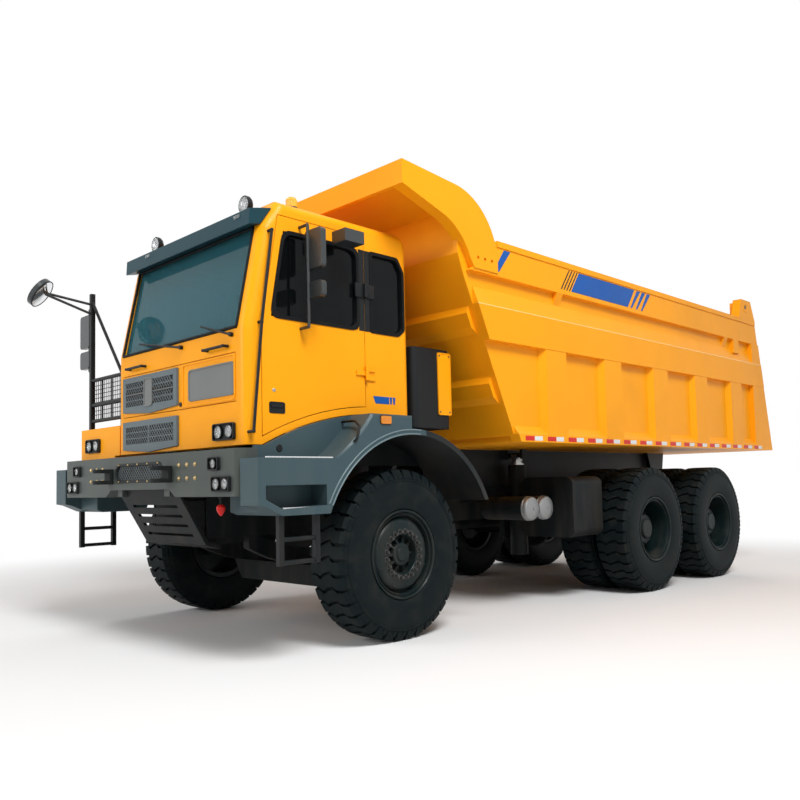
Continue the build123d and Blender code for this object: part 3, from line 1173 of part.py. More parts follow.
# Seats for the driver and a passenger.
SEAT_HALF = 260.0
SEAT_REAR_X = FRONT_AXLE_X + 120.0
SEAT_YS = (950.0, -60.0)
FLOOR_Z = CAB_HEEL_Z + CAB_WALL
SEAT_TOP_Z = FLOOR_Z + CAB_HEIGHT * 58 / 99
with BuildPart() as seats:
    profile = [
        (SEAT_REAR_X + 60, FLOOR_Z),
        (SEAT_REAR_X + 60, FLOOR_Z + 340),
        (SEAT_REAR_X - 40, SEAT_TOP_Z - 10),
        (SEAT_REAR_X + 60, SEAT_TOP_Z),
        (SEAT_REAR_X + 190, FLOOR_Z + 480),
        (SEAT_REAR_X + 620, FLOOR_Z + 500),
        (SEAT_REAR_X + 640, FLOOR_Z + 370),
        (SEAT_REAR_X + 480, FLOOR_Z + 330),
        (SEAT_REAR_X + 440, FLOOR_Z + 80),
        (SEAT_REAR_X + 440, FLOOR_Z),
    ]
    for seat_y in SEAT_YS:
        slab(profile, seat_y + SEAT_HALF, seat_y - SEAT_HALF)
save(seats.part, "seats")

# Dash with the steering column and wheel.
with BuildPart() as dash:
    board = [
        (FRONT_INNER_X, SCREEN_LOW_Z - 40),
        (FRONT_INNER_X - 260, SCREEN_LOW_Z - 60),
        (FRONT_INNER_X - 300, SCREEN_LOW_Z - 260),
        (FRONT_INNER_X, FLAP_HIGH_Z - 120),
    ]
    slab(board, CAB_CENTRE_YS[1], CAB_CENTRE_YS[0])
    wheel_centre = Vector(FRONT_INNER_X - 500, SEAT_YS[0], SCREEN_LOW_Z + 30)
    lean = Vector(-0.6, 0, 0.8)
    column_root = wheel_centre - lean * 330
    bar(tuple(column_root), tuple(wheel_centre), 28)
    with BuildSketch(Plane(origin=wheel_centre, z_dir=lean)) as grip:
        RegularPolygon(235, RING_SIDES)
        RegularPolygon(200, RING_SIDES, mode=Mode.SUBTRACT)
        Rectangle(420, 40)
        Circle(60)
    extrude(grip.sketch, amount=26)
save(dash.part, "dash")

# Side tanks on bracket arms: fuel on the left, hydraulic oil on the right.
TANK_REAR_X = REAR_AXLE_X[0] + TYRE_RADIUS + 71.5
TANK_FRONT_X = TANK_REAR_X + 610.0
TANK_YS = (940.0, 1640.0)
TANK_ZS = (720.0, 1400.0)
TANK_ARM_Z = RAIL_TOP - RAIL_HEIGHT
RAIL_OUTER = RAIL_Y + RAIL_WIDTH / 2
with BuildPart() as tanks:
    block((TANK_REAR_X, TANK_FRONT_X), TANK_YS, TANK_ZS)
    fillet(edges().filter_by(Axis.X), radius=90)
    for x in (TANK_REAR_X + 30, TANK_FRONT_X - 90):
        block((x, x + 60), (RAIL_OUTER, TANK_YS[0] + 20), (TANK_ARM_Z, TANK_ARM_Z + 60))
    mirror(about=Plane.XZ)
save(tanks.part, "tanks")

# Two air reservoirs across the left side, on one bracket.
AIR_Z = 1065.0
AIR_RADIUS = 128.0
AIR_REAR_X = TANK_FRONT_X + 2 * AIR_RADIUS + 49.0
AIR_XS = (AIR_REAR_X + 2 * AIR_RADIUS + 9.0, AIR_REAR_X)
AIR_END_Y = 1510.0
with BuildPart() as air_tanks:
    for x in AIR_XS:
        bar((x, AIR_END_Y - 620, AIR_Z), (x, AIR_END_Y, AIR_Z), AIR_RADIUS)
    fillet(faces().sort_by(Axis.Y)[-2:].edges(), radius=AIR_RADIUS * 0.45)
    block((AIR_XS[1], AIR_XS[0]), (RAIL_OUTER, AIR_END_Y - 200), (AIR_Z + 60, AIR_Z + 90))
save(air_tanks.part, "air_tanks")

# Air cleaner cabinet behind the cab, on a bracket from the left rail.
CLEANER_XS = (CAB_REAR - 560.0, CAB_REAR - 40.0)
CLEANER_YS = (1000.0, 1500.0)
CLEANER_ZS = (1880.0, 2640.0)
CLEANER_CORNER = 60.0
BRACKET_WIDE = 100.0
with BuildPart() as air_cleaner:
    block(CLEANER_XS, CLEANER_YS, CLEANER_ZS)
    fillet(edges().filter_by(Axis.Z), radius=CLEANER_CORNER)
    bracket = [
        (RAIL_OUTER, RAIL_TOP - BRACKET_WIDE),
        (RAIL_OUTER + BRACKET_WIDE, RAIL_TOP - BRACKET_WIDE),
        (CLEANER_YS[0] + BRACKET_WIDE, CLEANER_ZS[0]),
        (CLEANER_YS[0] + BRACKET_WIDE, CLEANER_ZS[0] + CLEANER_CORNER),
        (RAIL_OUTER, CLEANER_ZS[0] + CLEANER_CORNER),
    ]
    prism(front_plane(CLEANER_XS[0] + BRACKET_WIDE), bracket, CLEANER_CORNER)
save(air_cleaner.part, "air_cleaner")

BED_RAKE = BED_LEAN / (BED_RIDGE_Z - BED_BOTTOM_Z)
TAIL_RAKE = (BED_TAIL_TOP_X - BED_TAIL_X) / (BED_TOP_Z - BED_BOTTOM_Z)
BED_INNER_Y = HALF_WIDTH - BED_RIB_DEPTH - BED_WALL
BED_PANEL_Y = HALF_WIDTH - BED_RIB_DEPTH


def bed_front_x(z):
    """Front edge of the bed's side at height z."""
    return BED_TOE_X + BED_RAKE * (z - BED_BOTTOM_Z)


def bed_tail_x(z):
    """Rear edge of the bed's side at height z."""
    return BED_TAIL_X + TAIL_RAKE * (z - BED_BOTTOM_Z)


CANOPY_SHOULDER = (BED_HEEL_X + 136.0, CANOPY_TOP_Z - 310.0)
CANOPY_BROW = (CANOPY_TIP_X - 693.0, CANOPY_TOP_Z - 55.0)
CANOPY_KNEE = (CANOPY_TIP_X - 830.0, CANOPY_TOP_Z - 107.0)
CANOPY_CHEEK = (CANOPY_TIP_X - 560.0, CANOPY_TOP_Z - 384.0)
CANOPY_JAW = (CANOPY_TIP_X - 780.0, CANOPY_TOP_Z - 541.0)
CANOPY_CHIN = (CANOPY_TIP_X - 883.0, CANOPY_TOP_Z - 700.0)
CANOPY_THROAT = (CANOPY_TIP_X - 780.0, CANOPY_TOP_Z - 667.0)
CHEEK_FOOT_Z = BED_RAIL_LOW_Z + 24.0
CHEEK_HOLE_Z = CHEEK_FOOT_Z + 106.0
CHEEK_HOLE_PITCH = 104.0
CHEEK_HOLE_RADIUS = 17.0
CHEEK_ROUND = 60.0
GUSSET_WIDE = 120.0
RAIL_FACE_Y = HALF_WIDTH - BED_CAP_OUT


def bed_side():
    """Left side of the bed: panel, rail, ridge, ribs, ledge, tail post, canopy cheek and hinge ear."""
    panel = [
        (BED_TOE_X, BED_BOTTOM_Z),
        (BED_TAIL_X, BED_BOTTOM_Z),
        (BED_TAIL_TOP_X, BED_TOP_Z),
        (BED_HEEL_X, BED_TOP_Z),
        CANOPY_JAW,
        CANOPY_THROAT,
        (bed_front_x(NECK_Z), NECK_Z),
    ]
    slab(panel, BED_PANEL_Y, BED_INNER_Y)
    with BuildSketch() as cheek:
        with BuildLine():
            ThreePointArc((BED_HEEL_X, BED_TOP_Z - 4 * BED_CAP), CANOPY_SHOULDER, CANOPY_BROW)
            Polyline(
                CANOPY_BROW,
                (CANOPY_TIP_X, CANOPY_TOP_Z),
                (CANOPY_TIP_X, CANOPY_TOP_Z - CANOPY_LIP),
                CANOPY_CHEEK,
            )
            ThreePointArc(CANOPY_CHEEK, CANOPY_JAW, CANOPY_CHIN)
            Polyline(
                CANOPY_CHIN,
                (CANOPY_CHIN[0] - CHEEK_ROUND, CHEEK_FOOT_Z),
                (BED_HEEL_X, CHEEK_FOOT_Z),
                (BED_HEEL_X, BED_TOP_Z - 4 * BED_CAP),
            )
        make_face()
    extrude(lifted(cheek.sketch, HALF_WIDTH), amount=HALF_WIDTH - BED_INNER_Y)
    rail = [
        (bed_tail_x(BED_RAIL_LOW_Z), BED_RAIL_LOW_Z),
        (BED_TAIL_TOP_X, BED_TOP_Z),
        (BED_HEEL_X, BED_TOP_Z),
        (bed_front_x(BED_RAIL_LOW_Z) - BED_CAP, BED_RAIL_LOW_Z),
    ]
    slab(rail, RAIL_FACE_Y, BED_PANEL_Y)
    cap_low = BED_TOP_Z - BED_CAP
    block((BED_TAIL_TOP_X, BED_HEEL_X), (RAIL_FACE_Y, HALF_WIDTH), (cap_low, BED_TOP_Z))
    ridge = [
        (BED_PANEL_Y, BED_RAIL_LOW_Z - 2 * BED_RIB_DEPTH),
        (HALF_WIDTH, BED_RIDGE_Z),
        (HALF_WIDTH, BED_RIDGE_Z - BED_CAP),
        (BED_PANEL_Y, BED_RIDGE_LOW_Z),
    ]
    ridge_tail = bed_tail_x(BED_RIDGE_Z)
    prism(front_plane(ridge_tail), ridge, bed_front_x(BED_RIDGE_LOW_Z) - ridge_tail)
    strip = [
        (BED_TOE_X, BED_BOTTOM_Z),
        (BED_TAIL_X, BED_BOTTOM_Z),
        (bed_tail_x(BED_STRIP_Z), BED_STRIP_Z),
        (bed_front_x(BED_STRIP_Z), BED_STRIP_Z),
    ]
    slab(strip, HALF_WIDTH, BED_PANEL_Y)
    ledge = [(BED_PANEL_Y, BED_STRIP_Z), (HALF_WIDTH, BED_STRIP_Z), (BED_PANEL_Y, BED_STRIP_Z + BED_LEDGE)]
    prism(front_plane(POST_FRONT_X), ledge, bed_front_x(BED_STRIP_Z) - POST_FRONT_X)
    for index in range(RIB_COUNT):
        centre = RIB_FIRST_X - index * RIB_PITCH
        foot = RIB_WIDTH / 2 + RIB_FLARE
        rib = [
            (centre - foot, BED_PANEL_Y),
            (centre - RIB_WIDTH / 2, HALF_WIDTH),
            (centre + RIB_WIDTH / 2, HALF_WIDTH),
            (centre + foot, BED_PANEL_Y),
        ]
        prism(Plane.XY.offset(BED_STRIP_Z), rib, BED_RIDGE_Z - BED_CAP - BED_STRIP_Z)
    post = [
        (POST_FRONT_X, BED_STRIP_Z),
        (bed_tail_x(BED_STRIP_Z), BED_STRIP_Z),
        (bed_tail_x(BED_RAIL_LOW_Z), BED_RAIL_LOW_Z),
        (POST_FRONT_X, BED_RAIL_LOW_Z),
    ]
    slab(post, HALF_WIDTH, BED_PANEL_Y)
    ridge_top = BED_RAIL_LOW_Z - 2 * BED_RIB_DEPTH
    stay_x = (RIB_LAST_X - RIB_WIDTH / 2, RIB_LAST_X)
    block(stay_x, (BED_PANEL_Y, RAIL_FACE_Y), (ridge_top - BED_RIB_DEPTH, BED_RAIL_LOW_Z))
    gusset = [(BED_PANEL_Y, BED_RAIL_LOW_Z), (RAIL_FACE_Y, BED_RAIL_LOW_Z), (BED_PANEL_Y, ridge_top)]
    for x in (RIB_FIRST_X - RIB_WIDTH / 2, RIB_LAST_X + RIB_WIDTH / 2):
        prism(front_plane(x), gusset, GUSSET_WIDE)
    ear = [
        (EAR_FRONT_X, BED_TOP_Z),
        (GATE_PIN_X + 130, EAR_TOP_Z),
        (GATE_PIN_X - 200, EAR_TOP_Z),
        (BED_TAIL_TOP_X, BED_TOP_Z),
    ]
    slab(ear, HALF_WIDTH, BED_INNER_Y)
    bar(
        (GATE_PIN_X, BED_INNER_Y, GATE_PIN_Z),
        (GATE_PIN_X, HALF_WIDTH, GATE_PIN_Z),
        GATE_PIN_RADIUS + SPINDLE_GAP,
        Mode.SUBTRACT,
    )
    for index in range(3):
        hole_x = CANOPY_CHIN[0] - 2 * CHEEK_ROUND - index * CHEEK_HOLE_PITCH
        ends = [(hole_x, y, CHEEK_HOLE_Z) for y in (HALF_WIDTH - BED_RIB_DEPTH / 2, HALF_WIDTH)]
        bar(*ends, CHEEK_HOLE_RADIUS, Mode.SUBTRACT)


# Bed sides: the right one mirrors the left.
with BuildPart() as bed_sides:
    bed_side()
    mirror(about=Plane.XZ)
save(bed_sides.part, "bed_sides")

# Bed floor on two sills, with hinge ears at the back and the hoist's pins.
FLOOR_TAIL_X = bed_tail_x(BED_BOTTOM_Z) + 30 + GATE_THICK + 2 * RUN_GAP + 14
SILL_TAIL_X = BED_PIN_X + 150.0
with BuildPart() as bed_floor:
    block(
        (FLOOR_TAIL_X, BED_TOE_X),
        (-BED_INNER_Y, BED_INNER_Y),
        (BED_BOTTOM_Z, BED_BOTTOM_Z + BED_FLOOR_THICK),
    )
    for hand in SIDES:
        sill = (hand * (RAIL_Y - SILL_WIDTH / 2), hand * (RAIL_Y + SILL_WIDTH / 2))
        block((SILL_TAIL_X, BED_TOE_X - 200), sill, (RAIL_TOP + SEAT_GAP, BED_BOTTOM_Z))
        ear_ys = (hand * BED_EAR_Y, hand * (BED_EAR_Y + BED_EAR_THICK))
        ear = [
            (BED_PIN_X - 90, BED_PIN_Z - 90),
            (BED_PIN_X + 90, BED_PIN_Z - 90),
            (BED_PIN_X + 320, BED_BOTTOM_Z),
            (BED_PIN_X - 200, BED_BOTTOM_Z),
        ]
        slab(ear, max(ear_ys), min(ear_ys))
        pin_ends = [(BED_PIN_X, y, BED_PIN_Z) for y in ear_ys]
        bar(*pin_ends, BED_PIN_RADIUS + SPINDLE_GAP, Mode.SUBTRACT)
        hook_y = hand * (HOIST_Y + HOIST_RADII[0])
        lug_y = hand * (HOIST_Y - HOIST_RADII[0])
        bar((HOIST_X, lug_y, HOIST_EYE_Z), (HOIST_X, hook_y, HOIST_EYE_Z), HOIST_PIN_RADIUS)
        for side_y in (lug_y, hook_y):
            lug = (side_y - 15, side_y + 15)
            block((HOIST_X - 50, HOIST_X + 50), lug, (HOIST_EYE_Z - 50, BED_BOTTOM_Z))
save(bed_floor.part, "bed_floor")

# Bed front wall, raked forward, with two stiffening ribs, the canopy roof and its lip.
PLATE = 46.0
with BuildPart() as bed_front:
    wall_foot = BED_BOTTOM_Z + BED_FLOOR_THICK
    wall = [
        (bed_front_x(wall_foot), wall_foot),
        (bed_front_x(NECK_Z), NECK_Z),
        CANOPY_THROAT,
        (CANOPY_CHEEK[0] - 240, CANOPY_TOP_Z - 230),
        (CANOPY_TIP_X - PLATE, CANOPY_TOP_Z - PLATE - 8),
        (CANOPY_TIP_X - PLATE, CANOPY_TOP_Z - CANOPY_LIP),
        (CANOPY_TIP_X, CANOPY_TOP_Z - CANOPY_LIP),
        (CANOPY_TIP_X, CANOPY_TOP_Z),
        CANOPY_KNEE,
        (CANOPY_THROAT[0] - 1.4 * PLATE, CANOPY_THROAT[1] + 160),
        (CANOPY_THROAT[0] - 1.4 * PLATE, CANOPY_THROAT[1]),
        (bed_front_x(NECK_Z) - 1.4 * PLATE, NECK_Z),
        (bed_front_x(wall_foot) - 1.4 * PLATE, wall_foot),
    ]
    slab(wall, BED_INNER_Y, -BED_INNER_Y)
    for rib_z in (BED_STRIP_Z + 300, BED_RIDGE_LOW_Z + 60):
        rib = [
            (bed_front_x(rib_z), rib_z),
            (bed_front_x(rib_z + 60) + 55, rib_z + 60),
            (bed_front_x(rib_z + 190) + 55, rib_z + 190),
            (bed_front_x(rib_z + 260), rib_z + 260),
        ]
        slab(rib, BED_INNER_Y, -BED_INNER_Y)
save(bed_front.part, "bed_front")

# Tailgate between the sides, hung by two arms on pins in the bed's rear ears.
GATE_SIDE_GAP = 12.0
GATE_ARM = 60.0
GATE_TOP_Z = BED_TOP_Z - 60
GATE_RIBS = 5
GATE_RIB_WIDTH = 170.0
GATE_RIB_DEPTH = 24.0
GATE_RIB_INSET = 70.0
with BuildPart() as tailgate:
    gate_y = BED_INNER_Y - GATE_SIDE_GAP
    leaf = [
        (bed_tail_x(BED_BOTTOM_Z) + 30, BED_BOTTOM_Z),
        (bed_tail_x(GATE_TOP_Z) + 30, GATE_TOP_Z),
        (bed_tail_x(GATE_TOP_Z) + 30 + GATE_THICK, GATE_TOP_Z),
        (bed_tail_x(BED_BOTTOM_Z) + 30 + GATE_THICK, BED_BOTTOM_Z),
    ]
    slab(leaf, gate_y, -gate_y)
    rib_zs = (BED_BOTTOM_Z + GATE_RIB_INSET, GATE_TOP_Z - GATE_RIB_INSET)
    rib = [(bed_tail_x(z) + 30, z) for z in rib_zs]
    rib += [(x - GATE_RIB_DEPTH, z) for x, z in reversed(rib)]
    rib_pitch = 2 * gate_y / GATE_RIBS
    for index in range(GATE_RIBS):
        rib_y = (index + 0.5) * rib_pitch - gate_y
        slab(rib, rib_y + GATE_RIB_WIDTH / 2, rib_y - GATE_RIB_WIDTH / 2)
    for hand in SIDES:
        arm_ys = (hand * gate_y, hand * (gate_y - GATE_ARM))
        arm = [
            (bed_tail_x(GATE_TOP_Z - 260) + 30, GATE_TOP_Z - 260),
            (GATE_PIN_X - 80, GATE_PIN_Z + 80),
            (GATE_PIN_X + 80, GATE_PIN_Z + 80),
            (GATE_PIN_X + 80, GATE_PIN_Z - 80),
            (bed_tail_x(GATE_TOP_Z - 260) + 30 + GATE_THICK, GATE_TOP_Z - 260),
        ]
        slab(arm, max(arm_ys), min(arm_ys))
        pin = ((GATE_PIN_X, arm_ys[0], GATE_PIN_Z), (GATE_PIN_X, hand * HALF_WIDTH, GATE_PIN_Z))
        bar(*pin, GATE_PIN_RADIUS)
save(tailgate.part, "tailgate")

# Hoist: barrels on trunnions, two sleeves inside each other, and rods whose forks hold the bed's pins.
HOIST_STEP = 15.0
HOIST_BASE_Z = HOIST_PIVOT_Z - HOIST_BELOW
HOIST_GAP = 2.0
FORK_HALF = 42.0
with BuildPart() as hoist_barrels:
    for hand in SIDES:
        low = (HOIST_X, hand * HOIST_Y, HOIST_BASE_Z)
        high = (HOIST_X, hand * HOIST_Y, HOIST_TOP_Z)
        bar(low, high, HOIST_RADII[0])
        floor = (HOIST_X, hand * HOIST_Y, HOIST_BASE_Z + HOIST_STEP - SEAT_GAP)
        trunnion_root = (HOIST_X, hand * (HOIST_Y - HOIST_RADII[0] * 0.9), HOIST_PIVOT_Z)
        trunnion_tip = (HOIST_X, hand * (RAIL_Y + RAIL_WIDTH / 4), HOIST_PIVOT_Z)
        bar(trunnion_root, trunnion_tip, HOIST_PIN_RADIUS)
        bar(floor, high, HOIST_RADII[1] + HOIST_GAP, Mode.SUBTRACT)
save(hoist_barrels.part, "hoist_barrels")
for index, name in ((1, "hoist_sleeves_outer"), (2, "hoist_sleeves_inner")):
    with BuildPart() as sleeves:
        base_z = HOIST_BASE_Z + index * HOIST_STEP
        top_z = HOIST_TOP_Z + index * HOIST_STEP
        for hand in SIDES:
            low = (HOIST_X, hand * HOIST_Y, base_z)
            floor = (HOIST_X, hand * HOIST_Y, base_z + HOIST_STEP - SEAT_GAP)
            high = (HOIST_X, hand * HOIST_Y, top_z)
            bar(low, high, HOIST_RADII[index])
            bar(floor, high, HOIST_RADII[index + 1] + HOIST_GAP, Mode.SUBTRACT)
    save(sleeves.part, name)
with BuildPart() as hoist_rods:
    for hand in SIDES:
        rod_y = hand * HOIST_Y
        rod_top = HOIST_TOP_Z + 3 * HOIST_STEP
        bar((HOIST_X, rod_y, HOIST_BASE_Z + 3 * HOIST_STEP), (HOIST_X, rod_y, rod_top), HOIST_RADII[3])
        prong = FORK_HALF + 18
        block((HOIST_X - prong, HOIST_X + prong), (rod_y - 40, rod_y + 40), (rod_top, HOIST_EYE_Z + 10))
        cut_z = (HOIST_EYE_Z - HOIST_PIN_RADIUS - SEAT_GAP, HOIST_EYE_Z + 20)
        block((HOIST_X - FORK_HALF, HOIST_X + FORK_HALF), (rod_y - 41, rod_y + 41), cut_z, Mode.SUBTRACT)
save(hoist_rods.part, "hoist_rods")
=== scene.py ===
"""Looks of a wide-body mining dump truck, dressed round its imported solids."""

import logging
import math
from dataclasses import dataclass
from enum import Enum
from typing import Iterable, Sequence

import bmesh
import bpy
from mathutils import Matrix, Vector


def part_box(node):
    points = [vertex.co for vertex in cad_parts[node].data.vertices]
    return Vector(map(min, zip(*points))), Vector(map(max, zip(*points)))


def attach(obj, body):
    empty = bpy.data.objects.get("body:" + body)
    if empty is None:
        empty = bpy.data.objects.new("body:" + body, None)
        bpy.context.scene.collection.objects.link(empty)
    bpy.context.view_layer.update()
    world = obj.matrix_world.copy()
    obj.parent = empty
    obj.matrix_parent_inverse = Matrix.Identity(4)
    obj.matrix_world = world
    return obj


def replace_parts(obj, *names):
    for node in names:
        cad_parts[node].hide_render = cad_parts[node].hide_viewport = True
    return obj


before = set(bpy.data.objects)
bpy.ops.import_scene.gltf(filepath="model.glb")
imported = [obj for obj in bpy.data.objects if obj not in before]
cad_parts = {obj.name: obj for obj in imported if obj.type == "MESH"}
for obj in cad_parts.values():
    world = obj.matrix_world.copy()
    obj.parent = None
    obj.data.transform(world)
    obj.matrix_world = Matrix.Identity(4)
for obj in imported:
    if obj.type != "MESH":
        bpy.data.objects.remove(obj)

LOG = logging.getLogger("dump_truck")
Point = Sequence[float]
Colour = tuple[float, float, float]
Span = tuple[float, float]
Flat = list[Span]
FULL_TURN = 2 * math.pi
WHITE = (1.0, 1.0, 1.0, 1.0)
PANE_INSET = 0.024
SEAT_HALF = 0.260


class Axis(Enum):
    """Direction that a turned or drawn-out shape follows."""

    X = 0
    Y = 1
    Z = 2

    def vector(self, sign: float = 1.0) -> Vector:
        """Unit vector along the axis."""
        return Vector([sign if index == self.value else 0.0 for index in range(3)])


class Side(Enum):
    """Side of the truck, with the sign of its y values."""

    LEFT = 1
    RIGHT = -1

    @property
    def word(self) -> str:
        """Lower-case name, as the nodes and bodies use it."""
        return self.name.lower()

    def span(self, first: float, second: float, base: float = 0.0) -> list[float]:
        """Two places across the truck in rising order, measured outwards from a base."""
        return sorted((base + self.value * first, base + self.value * second))


def limits(node: str, axis: Axis) -> Span:
    """Lowest and highest place of a solid on an axis, to a tenth of a millimetre."""
    low, high = (round(corner[axis.value], 4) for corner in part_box(node))
    return (low, high)


def middle(node: str, axis: Axis) -> float:
    """Middle of a solid on an axis."""
    return sum(limits(node, axis)) / 2


FRONT_AXLE = middle("tyre_front_left", Axis.X)
AXLE_Z = middle("tyre_front_left", Axis.Z)
REAR_AXLES = {name: middle(f"tyres_{name}_left", Axis.X) for name in ("mid", "rear")}
FRONT_TYRE_Y = middle("tyre_front_left", Axis.Y)
TYRE_HALF = limits("tyre_front_left", Axis.Y)[1] - FRONT_TYRE_Y
PAIR_LOW, PAIR_HIGH = limits("tyres_mid_left", Axis.Y)
REAR_TYRE_YS = (PAIR_HIGH - TYRE_HALF, PAIR_LOW + TYRE_HALF)
CAB_FACE = limits("cab_front", Axis.X)[1]
DECK_FACE = limits("deck_right", Axis.X)[1]
BUMPER_FACE = limits("bumper", Axis.X)[1]
SEATS_LOW, SEATS_HIGH = limits("seats", Axis.Y)
SEAT_YS = {"driver": SEATS_HIGH - SEAT_HALF, "mate": SEATS_LOW + SEAT_HALF}


def scaled(colour: Colour, by: float) -> Colour:
    """Colour whose parts are all multiplied by one value."""
    red, green, blue = (by * part for part in colour)
    return (red, green, blue)


class Wire:
    """A shader output that takes part in Python arithmetic."""

    def __init__(self, graph: "Graph", socket: bpy.types.NodeSocket | None) -> None:
        """Keep the socket and the graph that it belongs to."""
        self.graph = graph
        self.socket = socket

    def _math(self, operation: str, first: "Wire | float", second: "Wire | float") -> "Wire":
        """Result of a Math node on two values."""
        return self.graph.node("ShaderNodeMath", {"operation": operation}, {0: first, 1: second})

    def __add__(self, other: "Wire | float") -> "Wire":
        """Sum of the two."""
        return self._math("ADD", self, other)

    __radd__ = __add__

    def __sub__(self, other: "Wire | float") -> "Wire":
        """This less the other."""
        return self._math("SUBTRACT", self, other)

    def __rsub__(self, other: "Wire | float") -> "Wire":
        """The other less this."""
        return self._math("SUBTRACT", other, self)

    def __mul__(self, other: "Wire | float") -> "Wire":
        """Product of the two."""
        return self._math("MULTIPLY", self, other)

    __rmul__ = __mul__

    def most(self, other: "Wire | float") -> "Wire":
        """The larger of the two."""
        return self._math("MAXIMUM", self, other)

    def ramp(self, low: float, high: float) -> "Wire":
        """Smooth step from 0 at low to 1 at high."""
        return self.graph.node(
            "ShaderNodeMapRange",
            {"interpolation_type": "SMOOTHSTEP"},
            {"Value": self, "From Min": low, "From Max": high},
        )


class Graph:
    """Node tree of one finish or of the sky."""

    def __init__(self, owner: bpy.types.Material | bpy.types.World) -> None:
        """Start an empty tree.

        Args:
            owner: Material or world that the tree belongs to.
        """
        self.owner = owner
        owner.use_nodes = True
        self.tree = owner.node_tree
        self.tree.nodes.clear()

    def node(
        self,
        kind: str,
        settings: dict[str, object] | None = None,
        inputs: dict[str | int, object] | None = None,
        output: str | int = 0,
    ) -> Wire:
        """Add any node.

        Args:
            kind: Type of the node.
            settings: Properties, which are set first.
            inputs: Values or links by socket.
            output: Socket whose result is wanted.

        Returns:
            That result.
        """
        made = self.tree.nodes.new(kind)
        for name, value in (settings or {}).items():
            setattr(made, name, value)
        for name, value in (inputs or {}).items():
            if isinstance(value, Wire):
                self.tree.links.new(value.socket, made.inputs[name])
            else:
                made.inputs[name].default_value = value
        return Wire(self, made.outputs[output] if made.outputs else None)

    def place(self) -> Wire:
        """Position on the truck at rest, in metres."""
        return self.node("ShaderNodeTexCoord", output="Object")

    def part_of(self, vector: Wire, axis: Axis) -> Wire:
        """One coordinate of a vector."""
        return self.node("ShaderNodeSeparateXYZ", None, {0: vector}, axis.value)

    def noise(self, scale: float, detail: float = 3.0, stretch: Point = (1, 1, 1)) -> Wire:
        """Cloudy value round one half, by waves to the metre, octaves and a factor for each axis."""
        spot = self.node("ShaderNodeVectorMath", {"operation": "MULTIPLY"}, {0: self.place(), 1: stretch})
        return self.node("ShaderNodeTexNoise", None, {"Vector": spot, "Scale": scale, "Detail": detail})

    def upward(self) -> Wire:
        """How far the surface faces up."""
        return self.part_of(self.node("ShaderNodeNewGeometry", output="Normal"), Axis.Z)

    def mix(self, first: "Wire | Colour", second: "Wire | Colour", share: "Wire | float") -> Wire:
        """Blend of two colours, by the share of the second."""
        ends = [end if isinstance(end, Wire) else (*end, 1.0) for end in (first, second)]
        return self.node("ShaderNodeMix", {"data_type": "RGBA"}, {0: share, 6: ends[0], 7: ends[1]}, 2)

    def wave(self, axis: Axis, scale: float) -> Wire:
        """Even bands from 0 to 1 that follow each other on an axis."""
        inputs = {"Vector": self.place(), "Scale": scale}
        return self.node("ShaderNodeTexWave", {"bands_direction": axis.name}, inputs)

    def seen(self) -> Wire:
        """Tell what the camera sees, straight, mirrored or through glass.

        Returns:
            One for what it sees, and zero for what only gives light.
        """
        rays = self.node("ShaderNodeLightPath", output="Is Camera Ray")
        seen = rays
        for name in ("Is Glossy Ray", "Is Transmission Ray"):
            seen = seen.most(Wire(self, rays.socket.node.outputs[name]))
        return seen

    def edge_normal(self, radius: float) -> Wire:
        """Normal that rounds the edges off by a radius in metres."""
        return self.node("ShaderNodeBevel", {"samples": 4}, {"Radius": radius})

    def edge(self, radius: float) -> Wire:
        """Mask that is high on the edges, within a radius in metres."""
        inputs = {0: self.edge_normal(radius), 1: self.node("ShaderNodeNewGeometry", output="Normal")}
        return 1 - self.node("ShaderNodeVectorMath", {"operation": "DOT_PRODUCT"}, inputs, "Value")

    def bump(self, height: Wire, depth: float, normal: Wire | None = None) -> Wire:
        """Normal of a relief.

        Args:
            height: Relief, from 0 to 1.
            depth: Its depth in metres.
            normal: Normal that it lies on.

        Returns:
            The new normal.
        """
        inputs: dict[str | int, object] = {"Height": height, "Distance": depth, "Strength": 1.0}
        if normal is not None:
            inputs["Normal"] = normal
        return self.node("ShaderNodeBump", None, inputs)

    def shade(self, inputs: dict[str | int, object]) -> bpy.types.Material:
        """Close the tree with one shader.

        Args:
            inputs: Values and links of the shader.

        Returns:
            The material.
        """
        surface = self.node("ShaderNodeBsdfPrincipled", None, inputs)
        self.node("ShaderNodeOutputMaterial", None, {"Surface": surface})
        return self.owner


